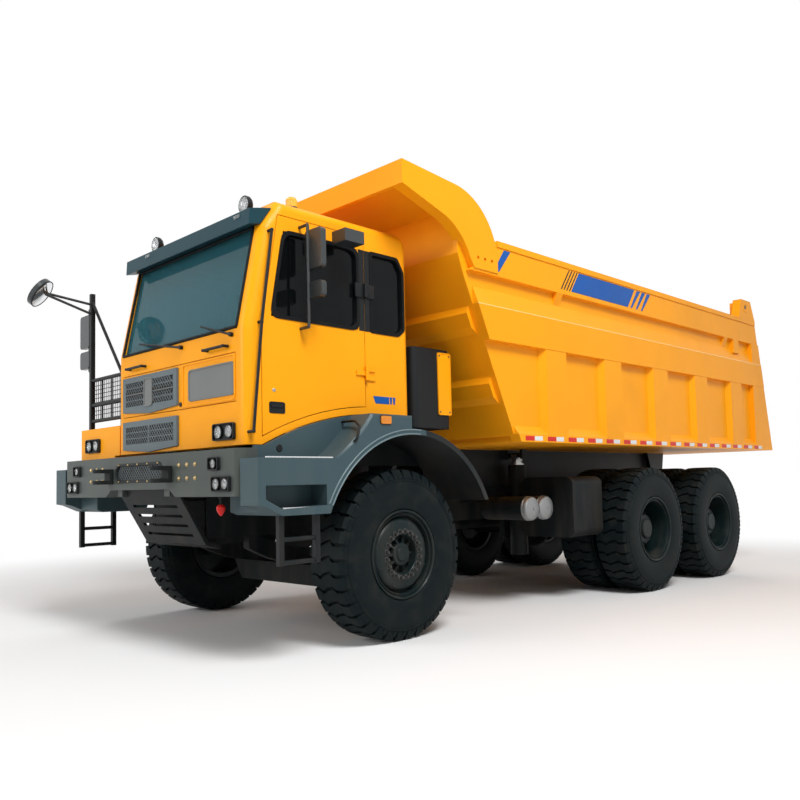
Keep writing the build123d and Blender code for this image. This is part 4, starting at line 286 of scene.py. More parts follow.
@dataclass(frozen=True)
class Paint:
    """Sprayed paint or moulded plastic with dust on top, wear along the edges and, where a foot colour is
    given, painted shade below a set height.
    """

    name: str
    colour: Colour
    roughness: float = 0.38
    coat: float = 0.25
    dust: float = 0.12
    worn: Colour = (0.16, 0.13, 0.10)
    wear: float = 0.35
    shine: float = 0.2
    # A foot colour paints everything below its height as painted shade, as the dark under the bed.
    foot: Colour | None = None
    painted_shade_z: float = 1.749
    arch: Colour | None = None
    arch_radius: float = 1.041
    arch_seam: float = -0.145
    rounding: float = 0.006
    peel: float = 0.0004
    peel_scale: float = 160.0

    def make(self) -> bpy.types.Material:
        """Build the material.

        Returns:
            The material.
        """
        graph = Graph(bpy.data.materials.new(self.name))
        cloud = graph.noise(0.8, 3.0)
        streak = graph.noise(5.0, 5.0, (1, 1, 0.18))
        deep = scaled(self.colour, 0.84)
        base = graph.mix(self.colour, deep, cloud.ramp(0.42, 0.75) * 0.6)
        height = graph.part_of(graph.place(), Axis.Z)
        # Painted shade: below the foot height the surface takes the foot colour.
        if self.foot:
            base = graph.mix(self.foot, base, height.ramp(self.painted_shade_z - 0.002, self.painted_shade_z))
        if self.arch:
            ahead = graph.part_of(graph.place(), Axis.X) - FRONT_AXLE
            spot = graph.node("ShaderNodeCombineXYZ", None, {0: ahead, 1: 0.0, 2: height - AXLE_Z})
            reach = graph.node("ShaderNodeVectorMath", {"operation": "LENGTH"}, {0: spot}, "Value")
            shell = reach.ramp(self.arch_radius, self.arch_radius + 0.003)
            base = graph.mix(self.arch, base, shell * ahead.ramp(self.arch_seam - 0.002, self.arch_seam))
        low = 1 - height.ramp(0.5, 2.2)
        dust = (graph.upward().ramp(0.3, 0.95) * 0.5 + low * 0.5) * streak.ramp(0.38, 0.7) * self.dust
        base = graph.mix(base, (0.42, 0.34, 0.25), dust)
        edge = graph.edge(self.rounding).ramp(0.02, 0.2) * graph.noise(26.0, 4.0).ramp(0.56, 0.68) * self.wear
        base = graph.mix(base, self.worn, edge)
        fine = graph.noise(self.peel_scale, 2.0)
        rough = streak * 0.14 + (self.roughness - 0.07) + dust * 0.5 + edge * 0.2
        normal = graph.bump(fine, self.peel, graph.edge_normal(self.rounding))
        return graph.shade(
            {
                "Base Color": base,
                "Roughness": rough,
                "Specular IOR Level": self.shine,
                "Coat Weight": self.coat,
                "Coat Roughness": 0.12,
                "Normal": normal,
            }
        )


@dataclass(frozen=True)
class Rubber:
    """Rubber with a fine grain and pale dust in its hollows."""

    name: str
    colour: Colour = (0.003, 0.007, 0.008)
    dust: float = 0.06

    def make(self) -> bpy.types.Material:
        """Build the material.

        Returns:
            The material.
        """
        graph = Graph(bpy.data.materials.new(self.name))
        cloud = graph.noise(6.0, 5.0)
        grain = graph.noise(240.0, 3.0)
        pale = cloud.ramp(0.45, 0.75) * self.dust
        base = graph.mix(self.colour, (0.16, 0.14, 0.11), pale)
        return graph.shade(
            {
                "Base Color": base,
                "Roughness": cloud * 0.16 + 0.5 + pale,
                "Specular IOR Level": 0.11,
                "Normal": graph.bump(grain + cloud, 0.0006),
            }
        )


@dataclass(frozen=True)
class Steel:
    """Bare or plated metal with drawn streaks and a little tarnish."""

    name: str
    colour: Colour
    roughness: float = 0.3
    tarnish: float = 0.3
    stretch: Point = (1, 1, 0.1)

    def make(self) -> bpy.types.Material:
        """Build the material.

        Returns:
            The material.
        """
        graph = Graph(bpy.data.materials.new(self.name))
        streak = graph.noise(60.0, 4.0, self.stretch)
        spots = graph.noise(7.0, 5.0).ramp(0.5, 0.8)
        dull = scaled(self.colour, 0.35)
        base = graph.mix(self.colour, dull, spots * self.tarnish)
        return graph.shade(
            {
                "Base Color": base,
                "Roughness": streak * 0.16 + (self.roughness - 0.08) + spots * 0.2,
                "Metallic": 1.0,
                "Normal": graph.bump(streak, 0.0003),
            }
        )


@dataclass(frozen=True)
class Glazing:
    """Tinted pane, with another tint ahead of the doors and a thin film of dust."""

    name: str
    tint: Colour
    front_tint: Colour
    front_x: float = 4.15
    clear: float = 0.75

    def make(self) -> bpy.types.Material:
        """Build the material.

        Returns:
            The material.
        """
        graph = Graph(bpy.data.materials.new(self.name))
        ahead = graph.part_of(graph.place(), Axis.X).ramp(self.front_x - 0.05, self.front_x)
        film = graph.noise(3.0, 5.0).ramp(0.45, 0.8)
        tint = graph.mix(self.tint, self.front_tint, ahead)
        return graph.shade(
            {
                "Base Color": graph.mix(tint, (0.3, 0.3, 0.28), film * 0.03),
                "Roughness": film * 0.05 + 0.02,
                "Transmission Weight": self.clear,
                "IOR": 1.22,
                "Normal": graph.bump(graph.noise(1.6, 1.0), 0.0012),
            }
        )


@dataclass(frozen=True)
class Lens:
    """Clear or coloured lamp cover with moulded flutes."""

    name: str
    colour: Colour
    clear: float = 0.85
    flute: float = 90.0
    glow: float = 0.0

    def make(self) -> bpy.types.Material:
        """Build the material.

        Returns:
            The material.
        """
        graph = Graph(bpy.data.materials.new(self.name))
        film = graph.noise(20.0, 3.0)
        deep = scaled(self.colour, 0.8)
        tinted = graph.mix(self.colour, deep, film)
        inputs: dict[str | int, object] = {
            "Base Color": tinted,
            "Roughness": film * 0.08 + 0.03,
            "Transmission Weight": self.clear,
            "Normal": graph.bump(graph.wave(Axis.Y, self.flute), 0.0012),
        }
        if self.glow:
            inputs["Emission Color"] = tinted
            inputs["Emission Strength"] = self.glow
        return graph.shade(inputs)


@dataclass(frozen=True)
class Cloth:
    """Woven seat cover with a crossed weave and worn tops."""

    name: str
    colour: Colour
    thread: float = 420.0

    def make(self) -> bpy.types.Material:
        """Build the material.

        Returns:
            The material.
        """
        graph = Graph(bpy.data.materials.new(self.name))
        weave = graph.wave(Axis.Y, self.thread).most(graph.wave(Axis.X, self.thread))
        cloud = graph.noise(9.0, 4.0)
        pale = scaled(self.colour, 1.7)
        base = graph.mix(self.colour, pale, weave * 0.5 + cloud * 0.3)
        return graph.shade(
            {
                "Base Color": base,
                "Roughness": cloud * 0.1 + 0.8,
                "Sheen Weight": 0.2,
                "Normal": graph.bump(weave, 0.0008),
            }
        )


class Finishes:
    """Every finish of the truck, made once."""

    def __init__(self) -> None:
        """Make the materials."""
        coal, soot, ash, chalk, bone = ((tone, tone, tone) for tone in (0.05, 0.1, 0.2, 0.3, 0.4))
        yellow, black = (0.95, 0.365, 0.006), (0.006, 0.009, 0.010)
        self.yellow = Paint("cab_and_bed_yellow", yellow, 0.38, 0.05, shine=0.12).make()
        # A paler yellow for the rolled ridge edges: a painted highlight along the fold.
        self.ridge = Paint("ridge_painted_highlight", (0.98, 0.60, 0.16), 0.25, 0.3, 0.0, wear=0.0, shine=0.5).make()
        # Below its foot height the bed floor is painted black: painted shade under the bed.
        self.floor = Paint("bed_floor_yellow_with_painted_shade", yellow, 0.45, 0.02, foot=black).make()
        slate = (0.042, 0.075, 0.087)
        self.slate = Paint("fender_slate", slate, 0.42, 0.06, 0.10, ash, 0.25, arch=black).make()
        # A paler slate for the arch beads: a painted highlight along the arch.
        self.bead = Paint("fender_bead", (0.13, 0.19, 0.21), 0.35, 0.10, 0.04, chalk, 0.2, 0.5).make()
        self.bumper = Paint("bumper_grey", (0.058, 0.070, 0.064), 0.40, 0.10, 0.12, ash, 0.3).make()
        self.visor = Paint("visor_teal", (0.010, 0.045, 0.060), 0.35, 0.06, 0.04, soot, 0.1, 0.12).make()
        self.chassis = Paint("chassis_black", black, 0.5, 0.02, 0.10, (0.06, 0.05, 0.04), 0.3, 0.12).make()
        self.black = Paint("moulded_black", (0.008, 0.010, 0.011), 0.45, 0.0, 0.08, coal, 0.2).make()
        self.shell = Paint("mirror_shell", (0.022, 0.028, 0.030), 0.32, 0.2, 0.04, soot, 0.1, 0.5).make()
        rim = (0.004, 0.011, 0.012)
        self.rim = Paint("wheel_teal_black", rim, 0.42, 0.05, 0.08, (0.1, 0.09, 0.08), 0.3, 0.16).make()
        self.grille = Paint("grille_grey", (0.115, 0.145, 0.158), 0.45, 0.05, 0.06, chalk, 0.1).make()
        self.plate = Paint("bare_plate_grey", (0.17, 0.18, 0.175), 0.42, 0.05, 0.04, bone, 0.1).make()
        self.interior = Paint("dash_plastic", (0.03, 0.032, 0.035), 0.6, 0.0, 0.04, wear=0.0).make()
        self.blue = Paint("stripe_blue", (0.002, 0.085, 0.36), 0.4, 0.05, 0.05, (0.2, 0.2, 0.25), 0.05).make()
        # Black for the bed's black strokes, also used as painted shade behind the grille mesh and in the
        # rim's hand holes.
        self.ink = Paint("stripe_black", (0.010, 0.011, 0.013), 0.4, 0.05, 0.05, soot, 0.05).make()
        self.red = Paint("reflector_red", (0.62, 0.012, 0.008), 0.3, 0.1, 0.04, (0.3, 0.2, 0.2), 0.05).make()
        self.white = Paint("reflector_white", (0.72, 0.73, 0.72), 0.35, 0.1, 0.06, bone, 0.05).make()
        self.rubber = Rubber("tyre_rubber").make()
        self.seal = Rubber("window_seal", (0.005, 0.006, 0.007), 0.03).make()
        self.bright = Steel("ground_steel", (0.42, 0.42, 0.41), 0.28, 0.2).make()
        self.tank = Steel("tank_aluminium", (0.30, 0.31, 0.31), 0.48, 0.3).make()
        self.tread = Steel("step_edge_steel", (0.72, 0.73, 0.73), 0.4, 0.15).make()
        self.bolt = Steel("bolt_dark", (0.11, 0.11, 0.105), 0.45, 0.4).make()
        self.brass = Steel("bolt_brass", (0.50, 0.37, 0.18), 0.36, 0.3).make()
        self.bowl = Steel("lamp_bowl", (0.80, 0.81, 0.82), 0.16, 0.1).make()
        self.mesh = Steel("mesh_wire", (0.13, 0.145, 0.15), 0.5, 0.3).make()
        self.mirror = Steel("mirror_glass", (0.8, 0.82, 0.83), 0.1, 0.05).make()
        self.pane = Glazing("cab_glass", (0.010, 0.013, 0.015), (0.07, 0.27, 0.33)).make()
        self.clear = Lens("lamp_cover", (0.9, 0.92, 0.92)).make()
        self.beacon = Lens("beacon_cover", (1.0, 0.50, 0.03), 0.35, 140.0, 0.3).make()
        self.amber = Lens("amber_cover", (0.95, 0.30, 0.01), 0.35, 140.0, 0.12).make()
        self.tail = Lens("tail_cover", (0.55, 0.01, 0.01), 0.3, 120.0).make()
        self.cloth = Cloth("seat_cloth", (0.03, 0.032, 0.036)).make()


class Forge:
    """Collects the faces of one piece and turns them into an object."""

    def __init__(self) -> None:
        """Start with no faces."""
        self.mesh = bmesh.new()

    def faces(self, points: Iterable[Point], loops: Iterable[Sequence[int]]) -> None:
        """Add faces by their points.

        Args:
            points: Corners.
            loops: Indices of each face's corners.
        """
        corners = [self.mesh.verts.new(point) for point in points]
        for loop in loops:
            self.mesh.faces.new([corners[index] for index in loop])

    def block(self, low: Point, high: Point, edge: float = 0.0, segments: int = 2) -> None:
        """Add a box with rounded edges.

        Args:
            low: One corner.
            high: The opposite corner.
            edge: Radius of the edges.
            segments: Steps across each edge.
        """
        size = [abs(b - a) for a, b in zip(low, high)]
        middle = Vector([(a + b) / 2 for a, b in zip(low, high)])
        spot = Matrix.Translation(middle) @ Matrix.Diagonal((*size, 1.0))
        made = bmesh.ops.create_cube(self.mesh, size=1.0, matrix=spot)
        if edge:
            lines = list({line for vert in made["verts"] for line in vert.link_edges})
            bmesh.ops.bevel(
                self.mesh, geom=lines, offset=edge, segments=segments, affect="EDGES", profile=0.5
            )

    @staticmethod
    def levels(outline: Sequence[Point], axis: Axis, low: float, high: float) -> list[list[float]]:
        """Copies of flat corners at two places on an axis."""
        at = axis.value
        return [[*corner[:at], level, *corner[at:]] for level in (low, high) for corner in outline]

    def prism(self, outline: Sequence[Point], axis: Axis, low: float, high: float) -> None:
        """Draw a flat outline out along an axis.

        Args:
            outline: Corners in the other two axes, in their order.
            axis: Axis to follow.
            low: Start on it.
            high: End on it.
        """
        count = len(outline)
        loops = [list(range(count)), list(range(2 * count - 1, count - 1, -1))]
        loops += [[i, (i + 1) % count, (i + 1) % count + count, i + count] for i in range(count)]
        self.faces(self.levels(outline, axis, low, high), loops)

    def band(
        self, outer: Sequence[Point], inner: Sequence[Point], axis: Axis, low: float, high: float
    ) -> None:
        """Draw out the ring between two outlines with as many corners each.

        Args:
            outer: Outer corners in the other two axes, in their order.
            inner: Inner corners.
            axis: Axis to follow.
            low: Start on it.
            high: End on it.
        """
        count = len(outer)
        loops = []
        for here in range(count):
            after = (here + 1) % count
            ring = [here, after, after + count, here + count]
            loops += [ring, [index + 2 * count for index in ring]]
            for a, b in ((here, after), (here + count, after + count)):
                loops.append([a, b, b + 2 * count, a + 2 * count])
        self.faces(self.levels((*outer, *inner), axis, low, high), loops)

    def tube(self, path: Sequence[Point], radius: float, sides: int = 12) -> None:
        """Add a round bar along a path, closed at both ends.

        Args:
            path: Points that it follows.
            radius: Radius of the bar.
            sides: Faces round it.
        """
        spots = [Vector(point) for point in path]
        ways = [(b - a).normalized() for a, b in zip(spots, spots[1:])]
        bends = [ways[0]] + [(a + b).normalized() for a, b in zip(ways, ways[1:])] + [ways[-1]]
        across = ways[0].orthogonal().normalized()
        points: list[Vector] = []
        for spot, way in zip(spots, bends):
            across = (across - way * across.dot(way)).normalized()
            other = way.cross(across)
            for index in range(sides):
                angle = FULL_TURN * index / sides
                points.append(spot + radius * (math.cos(angle) * across + math.sin(angle) * other))
        loops = [list(range(sides - 1, -1, -1)), list(range(len(points) - sides, len(points)))]
        for ring in range(len(spots) - 1):
            for index in range(sides):
                here, there = ring * sides + index, ring * sides + (index + 1) % sides
                loops.append([here, there, there + sides, here + sides])
        self.faces(points, loops)

    def lattice(self, x: float, ys: Sequence[float], zs: Sequence[float], pitch: float, wire: float) -> None:
        """Fill an upright rectangle with crossed wires.

        Args:
            x: Place of the rectangle along the truck.
            ys: Its span across.
            zs: Its span in height.
            pitch: Distance of the wires along an edge.
            wire: Radius of a wire.
        """
        (left, right), (low, high) = sorted(ys), sorted(zs)
        for index in range(1, int((right - left + high - low) / pitch)):
            shift = left - high + index * pitch
            start, end = max(low, left - shift), min(high, right - shift)
            total = left + low + index * pitch
            first, last = max(low, total - right), min(high, total - left)
            if end - start > 2 * wire:
                self.tube([(x, start + shift, start), (x, end + shift, end)], wire, 4)
            if last - first > 2 * wire:
                self.tube([(x, total - first, first), (x, total - last, last)], wire, 4)

    def lathe(
        self, profile: Sequence[Span], centre: Point, axis: Vector, steps: int, closed: bool = False
    ) -> None:
        """Turn a profile about an axis.

        Args:
            profile: Pairs of radius and place along the axis.
            centre: Origin of the axis.
            axis: Its direction.
            steps: Faces round it.
            closed: Whether the profile's end joins its start.
        """
        across = axis.orthogonal().normalized()
        other = axis.cross(across)
        points = []
        for index in range(steps):
            angle = FULL_TURN * index / steps
            way = math.cos(angle) * across + math.sin(angle) * other
            points += [Vector(centre) + axis * along + way * radius for radius, along in profile]
        count = len(profile)
        loops = []
        for index in range(steps):
            here, there = index * count, ((index + 1) % steps) * count
            for row in range(count if closed else count - 1):
                after = (row + 1) % count
                loops.append([here + row, there + row, there + after, here + after])
        self.faces(points, loops)
        bmesh.ops.remove_doubles(self.mesh, verts=self.mesh.verts, dist=1e-6)

    def bolt(self, centre: Point, axis: Vector, radius: float, height: float) -> None:
        """Add a hexagon head with a domed top, by its radius over the corners and its height."""
        profile = [(radius, 0.0), (radius, 0.7 * height), (0.8 * radius, height), (0.0, height)]
        self.lathe(profile, centre, axis, 6)

    def close(self, name: str, finish: bpy.types.Material) -> bpy.types.Mesh:
        """Turn the faces into a mesh of one finish.

        Args:
            name: Name of the mesh.
            finish: Its material.

        Returns:
            The mesh.
        """
        data = bpy.data.meshes.new(name)
        self.mesh.to_mesh(data)
        self.mesh.free()
        data.materials.append(finish)
        return data

    def place(
        self, name: str, body: str, finish: bpy.types.Material, slot: str, crease: float = 35.0
    ) -> bpy.types.Object:
        """Close the mesh and hang it on its body.

        Args:
            name: Name of the piece.
            body: Body that it rides on.
            finish: Its material.
            slot: Not used.
            crease: Angle over which an edge stays sharp.

        Returns:
            The piece.
        """
        bmesh.ops.recalc_face_normals(self.mesh, faces=self.mesh.faces)
        data = self.close(name, finish)
        data.shade_smooth()
        data.set_sharp_from_angle(angle=math.radians(crease))
        piece = linked(name, data)
        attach(piece, body)
        LOG.info("piece %s on %s: %d faces", name, body, len(data.polygons))
        return piece


def grown(outline: Sequence[Point], by: float) -> Flat:
    """Move the edges of a flat outline outwards.

    Args:
        outline: Corners, counter-clockwise.
        by: Distance, negative to shrink.

    Returns:
        The new corners.
    """
    count = len(outline)
    made = []
    for index in range(count):
        before, here, after = (Vector(outline[(index + step) % count]) for step in (-1, 0, 1))
        normals = [Vector((way.y, -way.x)).normalized() for way in (here - before, after - here)]
        joint = (normals[0] + normals[1]).normalized()
        spot = here + joint * (by / joint.dot(normals[0]))
        made.append((spot.x, spot.y))
    return made


def rounded(outline: Sequence[Point], radius: float, steps: int = 5) -> Flat:
    """Round the corners of a flat outline.

    Args:
        outline: Corners in order.
        radius: Reach of each rounding along its edges.
        steps: Parts of each rounding.

    Returns:
        The new corners.
    """
    count = len(outline)
    made = []
    for index in range(count):
        before, here, after = (Vector(outline[(index + step) % count]) for step in (-1, 0, 1))
        back, ahead = before - here, after - here
        reach = min(radius, 0.45 * back.length, 0.45 * ahead.length)
        start, end = here + back.normalized() * reach, here + ahead.normalized() * reach
        for step in range(steps + 1):
            share = step / steps
            spot = start.lerp(here, share).lerp(here.lerp(end, share), share)
            made.append((spot.x, spot.y))
    return made


def plate(first: Sequence[float], second: Sequence[float]) -> Flat:
    """Corners of an upright rectangle, counter-clockwise, from its two spans."""
    (a, b), (c, d) = sorted(first), sorted(second)
    return [(a, c), (b, c), (b, d), (a, d)]


def from_axle(outline: Sequence[Point]) -> Flat:
    """Flat outline in the truck's frame, from one whose first values start at the front axle."""
    return [(FRONT_AXLE + ahead, second) for ahead, second in outline]


def about_axle(x: float, reach: float, y: float, angle: float) -> tuple[float, float, float]:
    """Place on a circle about an axle, at an angle in radians from straight ahead."""
    return (x + reach * math.cos(angle), y, AXLE_Z + reach * math.sin(angle))


def linked(name: str, data: bpy.types.ID) -> bpy.types.Object:
    """Put a new object in the scene.

    Args:
        name: Name of the object.
        data: Its mesh, lamp or camera.

    Returns:
        The object.
    """
    made = bpy.data.objects.new(name, data)
    bpy.context.scene.collection.objects.link(made)
    return made


@dataclass
class Wheel:
    """One body's wheel: its tyres, rims, hub and nuts."""

    finishes: Finishes
    name: str
    side: Side
    x: float
    tyre_ys: tuple[float, ...]
    radius: float = AXLE_Z
    groove: float = 0.026
    root: float = 0.020
    lugs: int = 36
    gap: float = 0.22
    nuts: int = 20
    spokes: int = 10

    def __post_init__(self) -> None:
        """Work out the names, the outward way and the middle of the outer tyre."""
        self.tag = f"{self.name}_{self.side.word}"
        self.body = f"wheel_{self.tag}"
        self.out = Axis.Y.vector(self.side.value)
        self.centre = Vector((self.x, max(self.tyre_ys, key=abs), AXLE_Z))

    def ring(self, level: float, reach: float, count: int, phase: float = 0.0) -> list[Vector]:
        """Places on a circle about the axle.

        Args:
            level: How far they stand out from the middle of the outer tyre.
            reach: Radius of the circle.
            count: Number of places.
            phase: Turn of the first place, in shares of their pitch.

        Returns:
            The places.
        """
        turns = [FULL_TURN * (index + phase) / count for index in range(count)]
        ways = [Vector((math.cos(turn), 0, math.sin(turn))) for turn in turns]
        return [self.centre + self.out * level + way * reach for way in ways]

    def carcass(self) -> Flat:
        """Draw the section of the rubber below the lugs.

        Returns:
            Pairs of radius and side offset.
        """
        tread = self.radius - self.groove
        half = [
            (0.384, 0.150), (0.386, 0.186), (0.402, 0.203), (0.440, 0.212), (0.500, 0.2175), (0.570, 0.219),
            (0.618, 0.216), (0.640, 0.211), (0.644, 0.216), (0.656, 0.215), (0.660, 0.208), (0.690, 0.197),
            (tread - 0.008, 0.178), (tread, 0.120),
        ]
        return half + [(radius, -offset) for radius, offset in reversed(half)]

    def zigzag(self, across: float) -> float:
        """Work out how far a lug's edge is shifted along the tread.

        Args:
            across: Place across the tread.

        Returns:
            The shift in metres.
        """
        stops = [(-0.22, 0.012), (-0.105, 0.012), (-0.070, -0.022), (0.0, 0.012)]
        stops += [(0.070, 0.030), (0.105, 0.0), (0.22, 0.0)]
        for (a, low), (b, high) in zip(stops, stops[1:]):
            if across <= b:
                return low + (high - low) * (across - a) / (b - a)
        return stops[-1][1]

    def tread(self, forge: Forge, y: float) -> None:
        """Add the lugs and the shoulder teeth of one tyre.

        Args:
            forge: Collector of the tyre's faces.
            y: Middle of the tyre.
        """
        half = [(0.204, 0.690), (0.176, self.radius - 0.004), (0.105, self.radius), (0.070, self.radius)]
        stations = [(-across, top) for across, top in half] + [(0.0, self.radius)] + half[::-1]
        pitch = FULL_TURN / self.lugs
        for lug in range(self.lugs):
            points = []
            for across, top in stations:
                foot = min(top, self.radius - self.groove) - self.root
                for share in (self.gap / 2, 0.5, 1 - self.gap / 2):
                    angle = (lug + share) * pitch + self.zigzag(across) / self.radius
                    points += [about_axle(self.x, reach, y + across, angle) for reach in (top, foot)]
            loops = [[0, 2, 3, 1], [2, 4, 5, 3]]
            last = 6 * (len(stations) - 1)
            loops += [[last + i for i in loop] for loop in loops]
            for row in range(len(stations) - 1):
                here, there = 6 * row, 6 * row + 6
                loops += [[here, here + 2, there + 2, there], [here + 2, here + 4, there + 4, there + 2]]
                loops += [[here, here + 1, there + 1, there], [here + 4, here + 5, there + 5, there + 4]]
            forge.faces(points, loops)
        section = ((0.664, 0.200), (0.664, 0.2105), (0.700, 0.203), (0.712, 0.180))
        for tooth in range(2 * self.lugs):
            for hand in (1, -1):
                points = []
                for share in (0.12, 0.72):
                    angle = (tooth + share) * pitch / 2
                    for reach, offset in section:
                        points.append(about_axle(self.x, reach, y + hand * offset, angle))
                forge.faces(points, [[0, 1, 2, 3], [4, 5, 6, 7], [0, 1, 5, 4], [1, 2, 6, 5], [2, 3, 7, 6]])

    def build_tyres(self) -> None:
        """Replace the tyre solids by turned, lugged tyres."""
        forge = Forge()
        for y in self.tyre_ys:
            forge.lathe(self.carcass(), (self.x, y, AXLE_Z), Axis.Y.vector(), 72, closed=True)
            self.tread(forge, y)
        node = f"{'tyre' if len(self.tyre_ys) == 1 else 'tyres'}_{self.tag}"
        piece = forge.place(f"{node}_rubber", self.body, self.finishes.rubber, "rubber", crease=30.0)
        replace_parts(piece, node)

    def flange(self) -> Flat:
        """Section of a rim's outer edge with its lock ring."""
        return [
            (0.374, 0.080), (0.384, 0.150), (0.390, 0.196), (0.386, 0.206), (0.376, 0.208), (0.368, 0.200),
            (0.364, 0.176), (0.352, 0.172), (0.350, 0.184), (0.342, 0.186), (0.338, 0.176), (0.336, 0.120),
        ]

    def build_front_rim(self) -> None:
        """Replace a front rim: dished disc, ring of nuts, spoked hub and cap, with black dimples as painted
        shade for the hand holes.
        """
        forge = Forge()
        dish = [
            (0.326, 0.118), (0.324, 0.140), (0.312, 0.164), (0.290, 0.180), (0.262, 0.186), (0.176, 0.186),
            (0.170, 0.180), (0.166, 0.110), (0.104, 0.104), (0.100, 0.164), (0.094, 0.172), (0.066, 0.174),
            (0.062, 0.184), (0.054, 0.190), (0.0, 0.190),
        ]
        forge.lathe(self.flange() + dish, self.centre, self.out, 72)
        inside = [
            (0.374, 0.080), (0.374, -0.150), (0.386, -0.200), (0.340, -0.200), (0.336, 0.040), (0.150, 0.050),
            (0.150, -0.040), (0.082, -0.040),
        ]
        forge.lathe(inside, self.centre, self.out, 48)
        self.add_spokes(forge)
        node = f"rim_{self.tag}"
        piece = forge.place(f"{node}_disc", self.body, self.finishes.rim, "rim_paint", crease=30.0)
        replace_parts(piece, node)
        self.build_nuts(level=0.186, reach=0.202)
        # The hand holes are black dimples on the disc, not openings: painted shade.
        holes = Forge()
        for spot in self.ring(level=0.1815, reach=0.284, count=8, phase=0.5):
            holes.lathe([(0.0, 0.0006), (0.013, 0.001), (0.016, -0.004)], spot, self.out, 14)
        holes.place(f"{node}_hand_holes", self.body, self.finishes.ink, "rim_paint")

    def add_spokes(self, forge: Forge) -> None:
        """Add the sloping ribs between the hub and the disc.

        Args:
            forge: Collector of the rim's faces.
        """
        half, level, foot_lift, tip_lift = 0.011, 0.1, 0.062, 0.03
        feet, tips = self.ring(level, 0.095, self.spokes), self.ring(level, 0.168, self.spokes)
        for foot, tip in zip(feet, tips):
            edge = self.out.cross(foot - tip).normalized() * (half * self.side.value)
            points = [foot + edge, foot - edge, tip - edge, tip + edge]
            lifts = (foot_lift, foot_lift, tip_lift, tip_lift)
            points += [point + self.out * lift for point, lift in zip(points, lifts)]
            forge.faces(points, [[4, 5, 6, 7], [0, 1, 5, 4], [1, 2, 6, 5], [2, 3, 7, 6], [3, 0, 4, 7]])

    def build_nuts(self, level: float, reach: float) -> None:
        """Add the ring of wheel nuts.

        Args:
            level: Place of the nuts' feet, outwards from the tyre's middle.
            reach: Radius of the ring.
        """
        forge = Forge()
        for spot in self.ring(level, reach, self.nuts, phase=0.5):
            forge.lathe([(0.024, 0.0), (0.024, 0.004), (0.019, 0.006)], spot, self.out, 14)
            forge.bolt(spot, self.out, 0.019, 0.026)
            forge.lathe([(0.009, 0.02), (0.009, 0.036), (0.0, 0.038)], spot, self.out, 8)
        forge.place(f"wheel_nuts_{self.tag}", self.body, self.finishes.bolt, "rim_paint")

    def build_rear_rim(self) -> None:
        """Replace a pair of rear rims: deep barrels, a joint disc and a geared hub."""
        gap = abs(self.tyre_ys[0] - self.tyre_ys[1])
        forge = Forge()
        barrel = [(0.334, -0.080), (0.330, -0.100), (0.318, -0.110), (0.300, -0.112)]
        hub = [
            (0.236, -0.112), (0.232, -0.020), (0.226, -0.008), (0.178, -0.004), (0.174, 0.052),
            (0.168, 0.062), (0.120, 0.066), (0.116, 0.088), (0.104, 0.098), (0.0, 0.1),
        ]
        forge.lathe(self.flange() + barrel + hub, self.centre, self.out, 72)
        inner = [
            (0.374, 0.080), (0.374, -gap - 0.150), (0.390, -gap - 0.200), (0.346, -gap - 0.205),
            (0.340, -gap), (0.215, -gap - 0.02), (0.215, -gap - 0.1), (0.084, -gap - 0.1),
        ]
        forge.lathe(inner, self.centre, self.out, 48)
        node = f"rims_{self.tag}"
        piece = forge.place(f"{node}_barrels", self.body, self.finishes.rim, "rim_paint", crease=30.0)
        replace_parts(piece, node)
        self.build_nuts(level=-0.112, reach=0.268)
        caps = Forge()
        for spot in self.ring(level=-0.006, reach=0.203, count=12):
            caps.bolt(spot, self.out, 0.015, 0.018)
        caps.place(f"{node}_hub_bolts", self.body, self.finishes.bolt, "rim_paint")

    def build(self) -> None:
        """Build the whole wheel."""
        self.build_tyres()
        if len(self.tyre_ys) == 1:
            self.build_front_rim()
        else:
            self.build_rear_rim()


